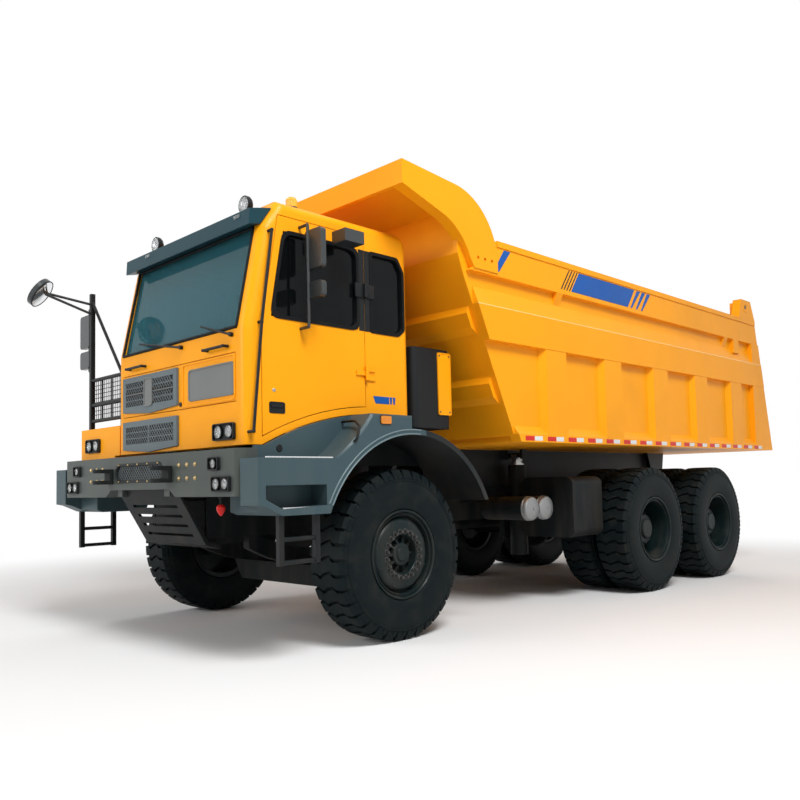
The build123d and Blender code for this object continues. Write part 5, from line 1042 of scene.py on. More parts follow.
@dataclass
class CabTrim:
    """Seals, locks, bare plates, mirror glass and stripes of the cab."""

    finishes: Finishes
    left: float = limits("cab_glass", Axis.Y)[1] + PANE_INSET
    right: float = limits("cab_glass", Axis.Y)[0] - PANE_INSET
    belt: float = limits("door_left_glass", Axis.Z)[0]
    head: float = limits("door_left_glass", Axis.Z)[1]
    screen_foot: float = limits("cab_glass", Axis.Z)[0]
    screen_head: float = limits("cab_glass", Axis.Z)[1]
    screen_rake: float = 0.170
    stripe_zs: Span = (2.075, 2.140)
    right_pull_rise: float = 0.40

    def skin(self, side: Side) -> float:
        """Outer face of the cab on one of its sides."""
        return self.left if side is Side.LEFT else self.right

    def door_pane(self) -> Flat:
        """Outline of a door's window."""
        return from_axle([(0.365, self.belt), (1.292, self.belt), (1.163, self.head), (0.365, self.head)])

    def quarter_pane(self) -> Flat:
        """Outline of a rear quarter window."""
        foot = [(-0.195, self.belt + 0.06), (-0.120, self.belt), (0.215, self.belt)]
        return from_axle(foot + [(0.215, self.head), (-0.120, self.head), (-0.195, self.head - 0.12)])

    def build_seals(self) -> None:
        """Add the rubber round the windows."""
        for side in Side:
            for name, body, outline, corner in (
                ("door_seal", f"door_{side.word}", self.door_pane(), 0.09),
                ("quarter_seal", "chassis", self.quarter_pane(), 0.03),
            ):
                outer, inner = (rounded(grown(outline, by), corner) for by in (0.012, -0.018))
                forge = Forge()
                forge.band(outer, inner, Axis.Y, *side.span(-PANE_INSET, 0.007, self.skin(side)))
                forge.place(f"{name}_{side.word}", body, self.finishes.seal, "rubber")
        forge = Forge()
        foot, head = CAB_FACE + 0.002, CAB_FACE - self.screen_rake + 0.002
        ys = (self.right + 0.122, self.left - 0.122)
        corners = [(foot, y, self.screen_foot + 0.005) for y in ys]
        corners += [(head, y, self.screen_head - 0.005) for y in reversed(ys)]
        for start, end in zip(corners, corners[1:] + corners[:1]):
            forge.tube([start, end], 0.013, 10)
        forge.place("screen_seal", "chassis", self.finishes.seal, "rubber")

    def build_pillars(self) -> None:
        """Add the black trim between the side windows, with the cover of the upper hinge."""
        hinge_x, hinge_z, half = FRONT_AXLE + 0.293, 3.060, 0.062
        for side in Side:
            skin = self.skin(side)
            heights = (self.belt - 0.005, self.head + 0.005)
            for name, body, strip, leaf in (
                ("pillar_trim", "chassis", (0.224, 0.2895), (0.181, 0.279)),
                ("door_trim", f"door_{side.word}", (0.2935, 0.356), (0.307, 0.405)),
            ):
                forge = Forge()
                forge.prism(from_axle(plate(strip, heights)), Axis.Y, *side.span(-0.001, 0.003, skin))
                ys, zs = side.span(0.0, 0.0165, skin), (hinge_z - half, hinge_z + half)
                low, high = ((FRONT_AXLE + ahead, y, z) for ahead, y, z in zip(leaf, ys, zs))
                forge.block(low, high, 0.003)
                if body == "chassis":
                    barrel = [(0.0, 0.0), (0.0175, 0.0), (0.0175, 2 * half), (0.0, 2 * half)]
                    foot = (hinge_x, skin + side.value * 0.024, hinge_z - half)
                    forge.lathe(barrel, foot, Axis.Z.vector(), 18)
                forge.place(f"{name}_{side.word}", body, self.finishes.black, "black_steel")

    def build_locks(self) -> None:
        """Add the pull recess, the paddle and the lock of each door, the right ones above the fender."""
        barrel = [(0.015, 0.0), (0.015, 0.003), (0.012, 0.005), (0.006, 0.005), (0.005, 0.003), (0.0, 0.003)]
        for side in Side:
            body, skin = f"door_{side.word}", self.skin(side)
            rise = 0.0 if side is Side.LEFT else self.right_pull_rise
            cup = rounded(from_axle(plate((1.167, 1.321), (1.938 + rise, 2.030 + rise))), 0.02)
            paddle = rounded(from_axle(plate((1.185, 1.303), (1.985 + rise, 2.016 + rise))), 0.01)
            pull, lock = Forge(), Forge()
            pull.band(cup, grown(cup, -0.012), Axis.Y, *side.span(0.0, 0.004, skin))
            pull.prism(grown(cup, -0.012), Axis.Y, *side.span(-0.004, 0.001, skin))
            pull.prism(paddle, Axis.Y, *side.span(0.0, 0.008, skin))
            pull.place(f"door_pull_{side.word}", body, self.finishes.black, "black_steel")
            lock.lathe(barrel, (FRONT_AXLE + 1.272, skin, 2.122 + rise), Axis.Y.vector(side.value), 18)
            lock.place(f"door_lock_{side.word}", body, self.finishes.bright, "bright_steel")

    def build_plates(self) -> None:
        """Add the two bare plates of the flap, each with a raised rim, and the flap's own rim and lock."""
        for name, outline, foot in (
            ("flap_side_plate", plate((0.660, 1.335), (2.085, 2.350)), CAB_FACE),
            ("flap_middle_plate", plate((-0.075, 0.075), (2.105, 2.365)), CAB_FACE + 0.022),
        ):
            forge = Forge()
            shape = rounded(outline, 0.035)
            forge.prism(shape, Axis.X, foot, foot + 0.004)
            forge.band(shape, grown(shape, -0.012), Axis.X, foot + 0.004, foot + 0.009)
            forge.place(name, "front_flap", self.finishes.plate, "grille_grey")
        rim = Forge()
        border = rounded(plate((0.560, 1.350), (2.045, 2.410)), 0.04)
        rim.band(border, grown(border, -0.014), Axis.X, CAB_FACE - 0.001, CAB_FACE + 0.007)
        rim.place("flap_rim", "front_flap", self.finishes.yellow, "paint_yellow")
        lock = Forge()
        barrel = [(0.020, 0.0), (0.020, 0.006), (0.015, 0.009), (0.0, 0.009)]
        lock.lathe(barrel, (CAB_FACE, 0.525, 2.075), Axis.X.vector(), 20)
        lock.place("flap_lock", "front_flap", self.finishes.black, "black_steel")

    def build_mirrors(self) -> None:
        """Add the glass of the flat and round mirrors."""
        heads = (
            ("left_long", "door_left", 0.950, 1.675, (3.1076, 3.4307)),
            ("left_short", "door_left", 0.950, 1.675, (2.8698, 3.0011)),
            ("right_long", "chassis", 1.400, -1.567, (2.8436, 3.1865)),
            ("right_short", "chassis", 1.400, -1.567, (2.6270, 2.8075)),
        )
        for name, body, x, y, heights in heads:
            forge = Forge()
            outline = rounded(grown(plate((y - 0.105, y + 0.105), heights), -0.014), 0.03)
            forge.prism(outline, Axis.X, FRONT_AXLE + x - 0.003, FRONT_AXLE + x + 0.001)
            forge.place(f"mirror_glass_{name}", body, self.finishes.mirror, "bright_steel")
        lean = Vector((-0.62, 0.5, -0.6)).normalized()
        centre = Vector((FRONT_AXLE + 1.9975, -1.380, 3.335)) + lean * 0.05
        forge = Forge()
        forge.lathe([(0.150, -0.012), (0.152, 0.002), (0.146, 0.006), (0.141, 0.003)], centre, lean, 36)
        forge.place("mirror_rim_round", "chassis", self.finishes.black, "black_steel")
        glass = Forge()
        glass.lathe([(0.142, 0.002), (0.11, 0.008), (0.06, 0.013), (0.0, 0.015)], centre, lean, 36)
        glass.place("mirror_glass_round", "chassis", self.finishes.mirror, "bright_steel")

    def build_stripes(self) -> None:
        """Add the blue stripe with its slanted tail behind each door."""
        low, high = self.stripe_zs
        shapes = [[(0.010, low), (0.178, low), (0.205, high), (0.010, high)]]
        for start in (0.004, -0.036):
            shapes.append([(start - 0.026, low), (start - 0.006, low), (start, high), (start - 0.034, high)])
        for side in Side:
            forge = Forge()
            for outline in shapes:
                forge.prism(from_axle(outline), Axis.Y, *side.span(-0.001, 0.0012, self.skin(side)))
            forge.place(f"cab_stripe_{side.word}", "chassis", self.finishes.blue, "paint_yellow")

    def build(self) -> None:
        """Build the trim of the cab."""
        self.build_seals()
        self.build_pillars()
        self.build_locks()
        self.build_plates()
        self.build_mirrors()
        self.build_stripes()


@dataclass
class FrontTrim:
    """Mesh of the grilles and the bumper, the bumper's bolts and its hose cap."""

    finishes: Finishes
    pitch: float = 0.042
    wire: float = 0.0036
    half: float = 0.444
    upper_zs: Span = (2.246, 2.343)
    middle_zs: Span = (2.126, 2.222)
    lower_zs: Span = (1.780, 1.933)
    window: Span = (1.445, 1.575)
    window_half: float = 0.410
    bolt_ys: tuple[float, ...] = (0.700, 0.825, 0.950)
    bolt_zs: tuple[float, ...] = (1.556, 1.446)

    def build_mesh(self) -> None:
        """Add the mesh in the openings of the grilles and the bumper, each with a black sheet behind it as
        painted shade.
        """
        wide = (0.012 - self.half, self.half - 0.012)
        panels = [("lower", "chassis", CAB_FACE + 0.0185, wide, self.lower_zs)]
        narrow = (-self.window_half, self.window_half)
        panels += [("bumper", "chassis", BUMPER_FACE - 0.016, narrow, self.window)]
        for side in Side:
            ys = [side.value * y for y in (0.080, self.half - 0.012)]
            for row, heights in (("top", self.upper_zs), ("middle", self.middle_zs)):
                panels.append((f"{row}_{side.word}", "front_flap", CAB_FACE + 0.0185, ys, heights))
        for name, body, x, ys, heights in panels:
            wires, back = Forge(), Forge()
            wires.lattice(x + 0.0035, ys, heights, self.pitch, self.wire)
            # A black sheet just behind the mesh: painted shade in the opening.
            back.prism(plate(ys, heights), Axis.X, x - 0.003, x)
            wires.place(f"mesh_{name}", body, self.finishes.mesh, "grille_grey")
            back.place(f"mesh_back_{name}", body, self.finishes.ink, "black_steel")

    def build_frame(self) -> None:
        """Add the bolted frame round the bumper's mesh."""
        forge, bolts = Forge(), Forge()
        low, high = self.window
        half, cut = self.window_half, 0.035
        opening = [
            (-half + cut, low), (half - cut, low), (half, low + cut), (half, high - cut),
            (half - cut, high), (cut - half, high), (-half, high - cut), (-half, low + cut),
        ]
        outer, inner = grown(opening, 0.022), grown(opening, -0.002)
        forge.band(outer, inner, Axis.X, BUMPER_FACE - 0.004, BUMPER_FACE + 0.006)
        forge.place("bumper_mesh_frame", "chassis", self.finishes.black, "black_steel")
        for share in range(5):
            y = (share / 2 - 1) * (half - 0.05)
            for z in (low - 0.010, high + 0.010):
                bolts.bolt((BUMPER_FACE + 0.006, y, z), Axis.X.vector(), 0.009, 0.007)
        for side in Side:
            for y in self.bolt_ys:
                for z in self.bolt_zs:
                    spot = (BUMPER_FACE, side.value * y, z)
                    bolts.lathe([(0.018, 0.0), (0.018, 0.003), (0.012, 0.004)], spot, Axis.X.vector(), 18)
                    bolts.bolt(spot, Axis.X.vector(), 0.012, 0.012)
        bolts.place("bumper_bolts", "chassis", self.finishes.brass, "bright_steel")

    def build_cap(self) -> None:
        """Add the red hose cap that hangs under the bumper, on its stem."""
        stem, cap = Forge(), Forge()
        foot = (FRONT_AXLE + 1.560, 1.180, 1.296)
        down = Axis.Z.vector(-1)
        stem.lathe([(0.020, 0.0), (0.020, 0.014), (0.009, 0.018), (0.009, 0.070)], foot, down, 16)
        bulb = [(0.0, 0.062), (0.024, 0.066), (0.034, 0.080), (0.034, 0.106)]
        cap.lathe(bulb + [(0.022, 0.130), (0.009, 0.150), (0.0, 0.154)], foot, down, 24)
        stem.place("hose_stem", "chassis", self.finishes.black, "black_steel")
        cap.place("hose_cap", "chassis", self.finishes.red, "paint_slate")

    def build(self) -> None:
        """Build the trim of the front."""
        self.build_mesh()
        self.build_frame()
        self.build_cap()


@dataclass
class LampSet:
    """Headlamps, bumper lamps, roof spots and markers, beacon and tail lamps."""

    finishes: Finishes
    depth: float = 0.026
    head_zs: Span = (1.735, 1.870)
    head_ys: Span = (1.050, 1.350)
    fog_ys: Span = (1.180, 1.300)
    fog_zs: Span = (1.510, 1.590)
    twin_ys: Span = (1.230, 1.450)
    twin_zs: Span = (1.345, 1.440)
    spot_x: float = FRONT_AXLE + 1.270
    spot_z: float = 3.675
    spot_ys: Span = (1.200, -0.270)
    spot_radius: float = 0.075
    marker: Span = (FRONT_AXLE + 1.4585, 3.520)
    tail_x: float = limits("frame", Axis.X)[0]
    tail_ys: Span = (1.000, 1.260)
    tail_zs: Span = (0.950, 1.070)

    def __post_init__(self) -> None:
        """Start the collectors of the four finishes."""
        self.shells, self.bowls, self.covers, self.tails = Forge(), Forge(), Forge(), Forge()

    def eye(self, centre: Point, radius: float) -> None:
        """Add one round lamp that looks ahead: ring, bowl, bulb and cover.

        Args:
            centre: Middle of its foot.
            radius: Radius of its bowl.
        """
        ring = [(radius + 0.006, 0.004), (radius + 0.006, 0.021), (radius, 0.024), (radius - 0.004, 0.019)]
        bowl = [(radius - 0.004, 0.019), (0.75 * radius, 0.012), (0.4 * radius, 0.007), (0.0, 0.006)]
        bulb = [(0.22 * radius, 0.006), (0.2 * radius, 0.014), (0.0, 0.017)]
        cover = [(0.0, 0.0258), (0.6 * radius, 0.0246), (radius - 0.002, 0.0222)]
        cover += [(radius - 0.002, 0.0202), (0.6 * radius, 0.0226), (0.0, 0.0238)]
        for forge, profile, steps in (
            (self.shells, ring, 28),
            (self.bowls, bowl, 28),
            (self.bowls, bulb, 12),
            (self.covers, cover, 28),
        ):
            forge.lathe(profile, centre, Axis.X.vector(), steps)

    def cluster(self, face: float, ys: Point, zs: Point, eyes: int, rim: float = 0.0) -> None:
        """Add a housing with one or more round lamps in it.

        Args:
            face: Surface that carries it.
            ys: Span across the truck.
            zs: Span in height.
            eyes: Number of lamps.
            rim: How far the housing stands out past its span.
        """
        outline = grown(plate(ys, zs), rim)
        outer, inner = rounded(outline, 0.022), rounded(grown(outline, -0.009), 0.016)
        self.shells.band(outer, inner, Axis.X, face, face + self.depth)
        self.shells.prism(grown(rounded(outline, 0.022), -0.004), Axis.X, face, face + 0.004)
        low, high = min(ys) - rim, max(ys) + rim
        pitch = (high - low) / eyes
        radius = min(pitch, zs[1] - zs[0] + 2 * rim) / 2 - 0.018
        for index in range(eyes):
            self.eye((face, low + (index + 0.5) * pitch, sum(zs) / 2), radius)

    def build_front(self) -> None:
        """Add the lamps on the cab's face, the deck's face and the bumper."""
        for side in Side:
            face = CAB_FACE if side is Side.LEFT else DECK_FACE
            for place, ys, zs, eyes, rim in (
                (face, self.head_ys, self.head_zs, 2, 0.0),
                (BUMPER_FACE, self.fog_ys, self.fog_zs, 1, 0.012),
                (BUMPER_FACE, self.twin_ys, self.twin_zs, 2, 0.012),
            ):
                self.cluster(place, [side.value * y for y in ys], zs, eyes, rim)

    def build_spots(self) -> None:
        """Add the roof spots on their feet, with a small marker beside each."""
        radius, (marker_x, marker_z) = self.spot_radius, self.marker
        can = [(0.0, 0.0), (0.6 * radius, 0.002), (0.85 * radius, 0.016), (radius, 0.036)]
        can += [(radius, 0.066), (0.9 * radius, 0.070)]
        bowl = [(0.9 * radius, 0.069), (0.6 * radius, 0.054), (0.0, 0.046)]
        cover = [(0.0, 0.075), (0.6 * radius, 0.073), (0.9 * radius, 0.069)]
        cover += [(0.9 * radius, 0.066), (0.0, 0.072)]
        for y in self.spot_ys:
            for forge, profile in ((self.shells, can), (self.bowls, bowl), (self.covers, cover)):
                forge.lathe(profile, (self.spot_x, y, self.spot_z), Axis.X.vector(), 30)
            top = (self.spot_x + 0.03, y + 0.02, self.spot_z - 0.06)
            self.shells.block((self.spot_x, y - 0.02, 3.555), top, 0.005)
            top = (marker_x + 0.010, y + 0.13, marker_z + 0.014)
            self.covers.block((marker_x, y + 0.05, marker_z - 0.014), top, 0.004)

    def build_beacon(self) -> None:
        """Replace the beacon: a black foot and a ribbed amber dome."""
        foot = (FRONT_AXLE + 0.960, 1.350, 3.670)
        up = Axis.Z.vector()
        base, dome = Forge(), Forge()
        base.lathe([(0.0, 0.0), (0.055, 0.0), (0.055, 0.022), (0.050, 0.026), (0.0, 0.026)], foot, up, 32)
        rings = [(0.050 - 0.0015 * (step % 2), 0.026 + 0.006 * step) for step in range(11)]
        dome.lathe(rings + [(0.046, 0.096), (0.034, 0.109), (0.016, 0.114), (0.0, 0.115)], foot, up, 32)
        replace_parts(base.place("beacon_foot", "chassis", self.finishes.black, "black_steel"), "beacon")
        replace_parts(dome.place("beacon_dome", "chassis", self.finishes.beacon, "amber"), "beacon")

    def build_tails(self) -> None:
        """Add the tail lamps: a black tray with three covers each."""
        for side in Side:
            ys = tuple(side.value * y for y in self.tail_ys)
            outline = plate(ys, self.tail_zs)
            start, end = self.tail_x - 0.020, self.tail_x
            outer, inner = rounded(outline, 0.015), rounded(grown(outline, -0.008), 0.01)
            self.shells.band(outer, inner, Axis.X, start, end)
            self.shells.prism(grown(outline, -0.004), Axis.X, end - 0.004, end)
            low, high = min(ys) + 0.012, max(ys) - 0.012
            third = (high - low) / 3
            for index in range(3):
                target = self.covers if index == 1 else self.tails
                target.block(
                    (self.tail_x - self.depth, low + index * third + 0.003, self.tail_zs[0] + 0.012),
                    (self.tail_x - 0.005, low + (index + 1) * third - 0.003, self.tail_zs[1] - 0.012), 0.006,
                )

    def build(self) -> None:
        """Build the lamps, which stand for their solids."""
        self.build_front()
        self.build_spots()
        self.build_beacon()
        self.build_tails()
        kit = self.finishes
        shells = self.shells.place("lamp_housings", "chassis", kit.black, "black_steel")
        bowls = self.bowls.place("lamp_bowls", "chassis", kit.bowl, "bright_steel")
        covers = self.covers.place("lamp_covers", "chassis", kit.clear, "lamp")
        tails = self.tails.place("tail_covers", "chassis", kit.tail, "lamp")
        for piece in (shells, bowls, covers, tails):
            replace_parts(piece, "lamps")


@dataclass
class FenderTrim:
    """Arch beads and liners, grab handles, step teeth, markers and plugs of the fenders."""

    finishes: Finishes
    skin: float = limits("fenders", Axis.Y)[1]
    tooth: float = 0.034

    def build_steps(self) -> None:
        """Add a toothed strip along each tread."""
        edge, root = self.skin - 0.001, self.skin - 0.016
        for side in Side:
            forge = Forge()
            for start, end, top in ((0.915, 1.545, 1.578), (1.020, 1.410, 1.195)):
                teeth = round((end - start) / self.tooth)
                pitch = (end - start) / teeth
                for index in range(teeth):
                    a = FRONT_AXLE + start + index * pitch
                    b, middle = a + pitch, a + pitch / 2
                    outline = [(a, root - 0.03), (b, root - 0.03), (b, root), (middle, edge), (a, root)]
                    forge.prism([(x, side.value * y) for x, y in outline], Axis.Z, top - 0.002, top + 0.010)
            forge.place(f"step_teeth_{side.word}", "chassis", self.finishes.tread, "bright_steel")

    def build_markers(self) -> None:
        """Add the amber marker and the plug of each fender."""
        for side in Side:
            forge, base = Forge(), Forge()
            skin, out = side.value * self.skin, Axis.Y.vector(side.value)
            outline = rounded(from_axle(plate((0.290, 0.408), (1.868, 1.934))), 0.016)
            base.prism(grown(outline, 0.006), Axis.Y, *side.span(-0.004, 0.004, skin))
            forge.prism(outline, Axis.Y, *side.span(0.0, 0.013, skin))
            forge.place(f"fender_marker_{side.word}", "chassis", self.finishes.amber, "amber")
            plug = [(0.030, -0.004), (0.030, 0.003), (0.026, 0.006), (0.0, 0.006)]
            base.lathe(plug, (FRONT_AXLE + 1.258, side.value * 1.540, 1.663), out, 24)
            base.place(f"fender_plugs_{side.word}", "chassis", self.finishes.black, "black_steel")

    def build_grabs(self) -> None:
        """Add the black grab handle above each pair of steps."""
        for side in Side:
            forge = Forge()
            path = [
                (0.606, 1.535, 1.892), (0.612, 1.660, 1.892), (0.618, 1.720, 1.886), (0.645, 1.800, 1.840),
                (0.680, 1.824, 1.772), (0.696, 1.824, 1.732), (0.700, 1.795, 1.712),
            ]
            forge.tube([(FRONT_AXLE + x, side.value * y, z) for x, y, z in path], 0.011, 10)
            forge.place(f"hump_grab_{side.word}", "chassis", self.finishes.black, "black_steel")

    def build_beads(self) -> None:
        """Add the two rolled beads along each arch, in a paler slate as a painted highlight, and the liner
        inside it.
        """
        for side in Side:
            forge, liner = Forge(), Forge()
            turns = [math.radians(26 + 4 * step) for step in range(18)]
            for radius in (1.047, 1.083):
                path = [about_axle(FRONT_AXLE, radius, side.value * self.skin, turn) for turn in turns]
                forge.tube(path, 0.007, 8)
            forge.place(f"arch_beads_{side.word}", "chassis", self.finishes.bead, "paint_slate")
            reach, foot = 1.042, 1.535
            corner = math.asin((foot - AXLE_Z) / reach)
            turns = [corner + (math.pi - 2 * corner) * step / 24 for step in range(25)]
            outline = [about_axle(FRONT_AXLE, reach, 0.0, turn)[::2] for turn in turns]
            liner.prism(outline, Axis.Y, *side.span(1.188, 1.194))
            liner.place(f"arch_liner_{side.word}", "chassis", self.finishes.chassis, "black_steel")

    def build(self) -> None:
        """Build the trim of the fenders."""
        self.build_beads()
        self.build_grabs()
        self.build_steps()
        self.build_markers()


@dataclass
class BedTrim:
    """Side beams, gate pins, stripes and reflectors of the bed."""

    finishes: Finishes
    rail: float = limits("bed_sides", Axis.Y)[1] - 0.010
    strip: float = limits("bed_sides", Axis.Y)[1]
    band: Span = (3.398, 3.628)
    slant: float = 0.168
    dash_z: float = 1.787
    dash_height: float = 0.046
    dash_pitch: float = 0.380
    dash_span: Span = (-1.470, -7.700)
    panel: float = 1.840
    beam_out: float = 0.004
    beam_zs: Span = (2.715, 3.045)
    beam_fronts: Span = (-0.944, -0.790)
    beam_tails: Span = (-7.652, -7.575)
    slope_top: float = 3.220
    slope_front: float = -0.955
    pin: Span = (-7.080, 3.880)

    def slanted(self, start: float, width: float, foot_width: float) -> Flat:
        """Outline of a stroke that leans with the stripe.

        Args:
            start: Foremost place of its foot, from the front axle.
            width: Width at its top.
            foot_width: Width at its foot.

        Returns:
            The corners.
        """
        low, high = self.band
        foot, top = FRONT_AXLE + start, FRONT_AXLE + start - self.slant
        return [(foot - foot_width, low), (foot, low), (top, high), (top - width, high)]

    def build_stripes(self) -> None:
        """Add the blue and black strokes of each rail."""
        for side in Side:
            spread = side.span(-0.001, 0.0015, side.value * self.rail)
            blue, ink = Forge(), Forge()
            blue.prism(self.slanted(-2.392, 1.21, 1.21), Axis.Y, *spread)
            blue.prism(self.slanted(-1.055, 0.105, 0.080), Axis.Y, *spread)
            for index in range(3):
                blue.prism(self.slanted(-3.665 - 0.125 * index, 0.085, 0.035), Axis.Y, *spread)
            for index in range(4):
                ink.prism(self.slanted(-2.195 - 0.052 * index, 0.020, 0.020), Axis.Y, *spread)
            blue.place(f"bed_stripe_blue_{side.word}", "bed", self.finishes.blue, "paint_yellow")
            ink.place(f"bed_stripe_black_{side.word}", "bed", self.finishes.ink, "paint_yellow")

    def build_dashes(self) -> None:
        """Add the red and white reflectors."""
        start, end = self.dash_span
        count = int((start - end) / self.dash_pitch)
        for side in Side:
            spread = side.span(-0.001, 0.0015, side.value * self.strip)
            heights = (self.dash_z - self.dash_height / 2, self.dash_z + self.dash_height / 2)
            red, white = Forge(), Forge()
            for index in range(count):
                x = FRONT_AXLE + start - index * self.dash_pitch
                red.prism(plate((x - 0.150, x), heights), Axis.Y, *spread)
                white.prism(plate((x - 0.290, x - 0.155), heights), Axis.Y, *spread)
            red.place(f"bed_reflectors_red_{side.word}", "bed", self.finishes.red, "paint_yellow")
            white.place(f"bed_reflectors_white_{side.word}", "bed", self.finishes.white, "paint_yellow")

    def build_beams(self) -> None:
        """Add the square beam under the ridge of each side, with its rolled upper edge in a paler yellow as a
        painted highlight.
        """
        low, high = self.beam_zs
        (front_low, front_high), (tail_low, tail_high) = self.beam_fronts, self.beam_tails
        outline = from_axle([(front_low, low), (front_high, high), (tail_high, high), (tail_low, low)])
        for side in Side:
            skin, root = side.value * (self.strip + self.beam_out), side.value * self.panel
            beam, edge = Forge(), Forge()
            beam.prism(outline, Axis.Y, *sorted((root, skin)))
            slope = [(root, high), (skin, high), (root, self.slope_top)]
            beam.prism(slope, Axis.X, FRONT_AXLE + self.slope_front, FRONT_AXLE + front_high)
            # The rolled edge takes the paler ridge finish: a painted highlight.
            edge.tube([(x, skin - side.value * 0.005, high) for x, _ in outline[1:3]], 0.007, 10)
            beam.place(f"bed_beam_{side.word}", "bed", self.finishes.yellow, "paint_yellow")
            edge.place(f"bed_beam_edge_{side.word}", "bed", self.finishes.ridge, "paint_yellow")

    def build_pins(self) -> None:
        """Add the collar and the bolted cap of each gate pin."""
        for side in Side:
            collar, cap = Forge(), Forge()
            spot = (FRONT_AXLE + self.pin[0], side.value * self.strip, self.pin[1])
            out = Axis.Y.vector(side.value)
            washer = [(0.040, -0.002), (0.040, 0.005), (0.078, 0.005), (0.082, 0.002), (0.082, -0.002)]
            collar.lathe(washer, spot, out, 32)
            cap.lathe([(0.029, -0.002), (0.029, 0.002), (0.026, 0.004), (0.0, 0.005)], spot, out, 24)
            collar.place(f"gate_pin_collar_{side.word}", "bed", self.finishes.yellow, "paint_yellow")
            cap.place(f"gate_pin_cap_{side.word}", "tailgate", self.finishes.bolt, "bright_steel")

    def build(self) -> None:
        """Build the trim of the bed."""
        self.build_beams()
        self.build_pins()
        self.build_stripes()
        self.build_dashes()


@dataclass
class CabinetTrim:
    """Yellow cover plate of the cabinet behind the cab."""

    finishes: Finishes
    skin: float = limits("air_cleaner", Axis.Y)[1]
    span: Span = (FRONT_AXLE - 0.822, FRONT_AXLE - 0.640)
    heights: Span = (2.010, 2.610)

    def build(self) -> None:
        """Add the plate with its folded rim and screws."""
        forge, screws = Forge(), Forge()
        outline = rounded(plate(self.span, self.heights), 0.02)
        forge.prism(outline, Axis.Y, self.skin - 0.002, self.skin + 0.008)
        forge.band(outline, grown(outline, -0.01), Axis.Y, self.skin + 0.008, self.skin + 0.013)
        forge.place("cabinet_cover", "chassis", self.finishes.yellow, "paint_yellow")
        for x in (self.span[0] + 0.025, self.span[1] - 0.025):
            for z in (self.heights[0] + 0.03, self.heights[1] - 0.03):
                screws.bolt((x, self.skin + 0.008, z), Axis.Y.vector(), 0.009, 0.006)
        screws.place("cabinet_screws", "chassis", self.finishes.bolt, "bright_steel")


@dataclass
class TankEnds:
    """Silver domed ends of the two air tanks."""

    finishes: Finishes
    xs: Span = (FRONT_AXLE - 2.110, FRONT_AXLE - 2.375)
    y: float = limits("air_tanks", Axis.Y)[1]
    z: float = middle("air_tanks", Axis.Z)
    radius: float = 0.129

    def build(self) -> None:
        """Add both ends with their seam and plug."""
        forge = Forge()
        radius = self.radius
        profile = [
            (radius, -0.075), (radius + 0.003, -0.072), (radius + 0.003, -0.060), (radius, -0.057),
            (radius, -0.026), (0.92 * radius, -0.010), (0.7 * radius, 0.001), (0.4 * radius, 0.006),
            (0.0, 0.008),
        ]
        for x in self.xs:
            forge.lathe(profile, (x, self.y, self.z), Axis.Y.vector(), 40)
            forge.bolt((x, self.y + 0.007, self.z), Axis.Y.vector(), 0.014, 0.010)
        forge.place("air_tank_ends", "chassis", self.finishes.tank, "tank_silver")


@dataclass
class GuardMesh:
    """Wire mesh in the walkway's front railing."""

    finishes: Finishes
    x: float = FRONT_AXLE + 1.450
    ys: Span = (-1.358, -0.722)
    zs: Span = (2.083, 2.464)
    wire: float = 0.004
    bar: float = 0.010
    bar_every: int = 5
    rows: int = 9
    columns: int = 15

    def build(self) -> None:
        """Add the crossed wires and their upright bars."""
        forge = Forge()
        for row in range(1, self.rows):
            z = self.zs[0] + (self.zs[1] - self.zs[0]) * row / self.rows
            forge.tube([(self.x, self.ys[0], z), (self.x, self.ys[1], z)], self.wire, 6)
        for column in range(1, self.columns):
            y = self.ys[0] + (self.ys[1] - self.ys[0]) * column / self.columns
            radius = self.wire if column % self.bar_every else self.bar
            forge.tube([(self.x, y, self.zs[0]), (self.x, y, self.zs[1])], radius, 6)
        forge.place("guard_mesh", "chassis", self.finishes.black, "black_steel")


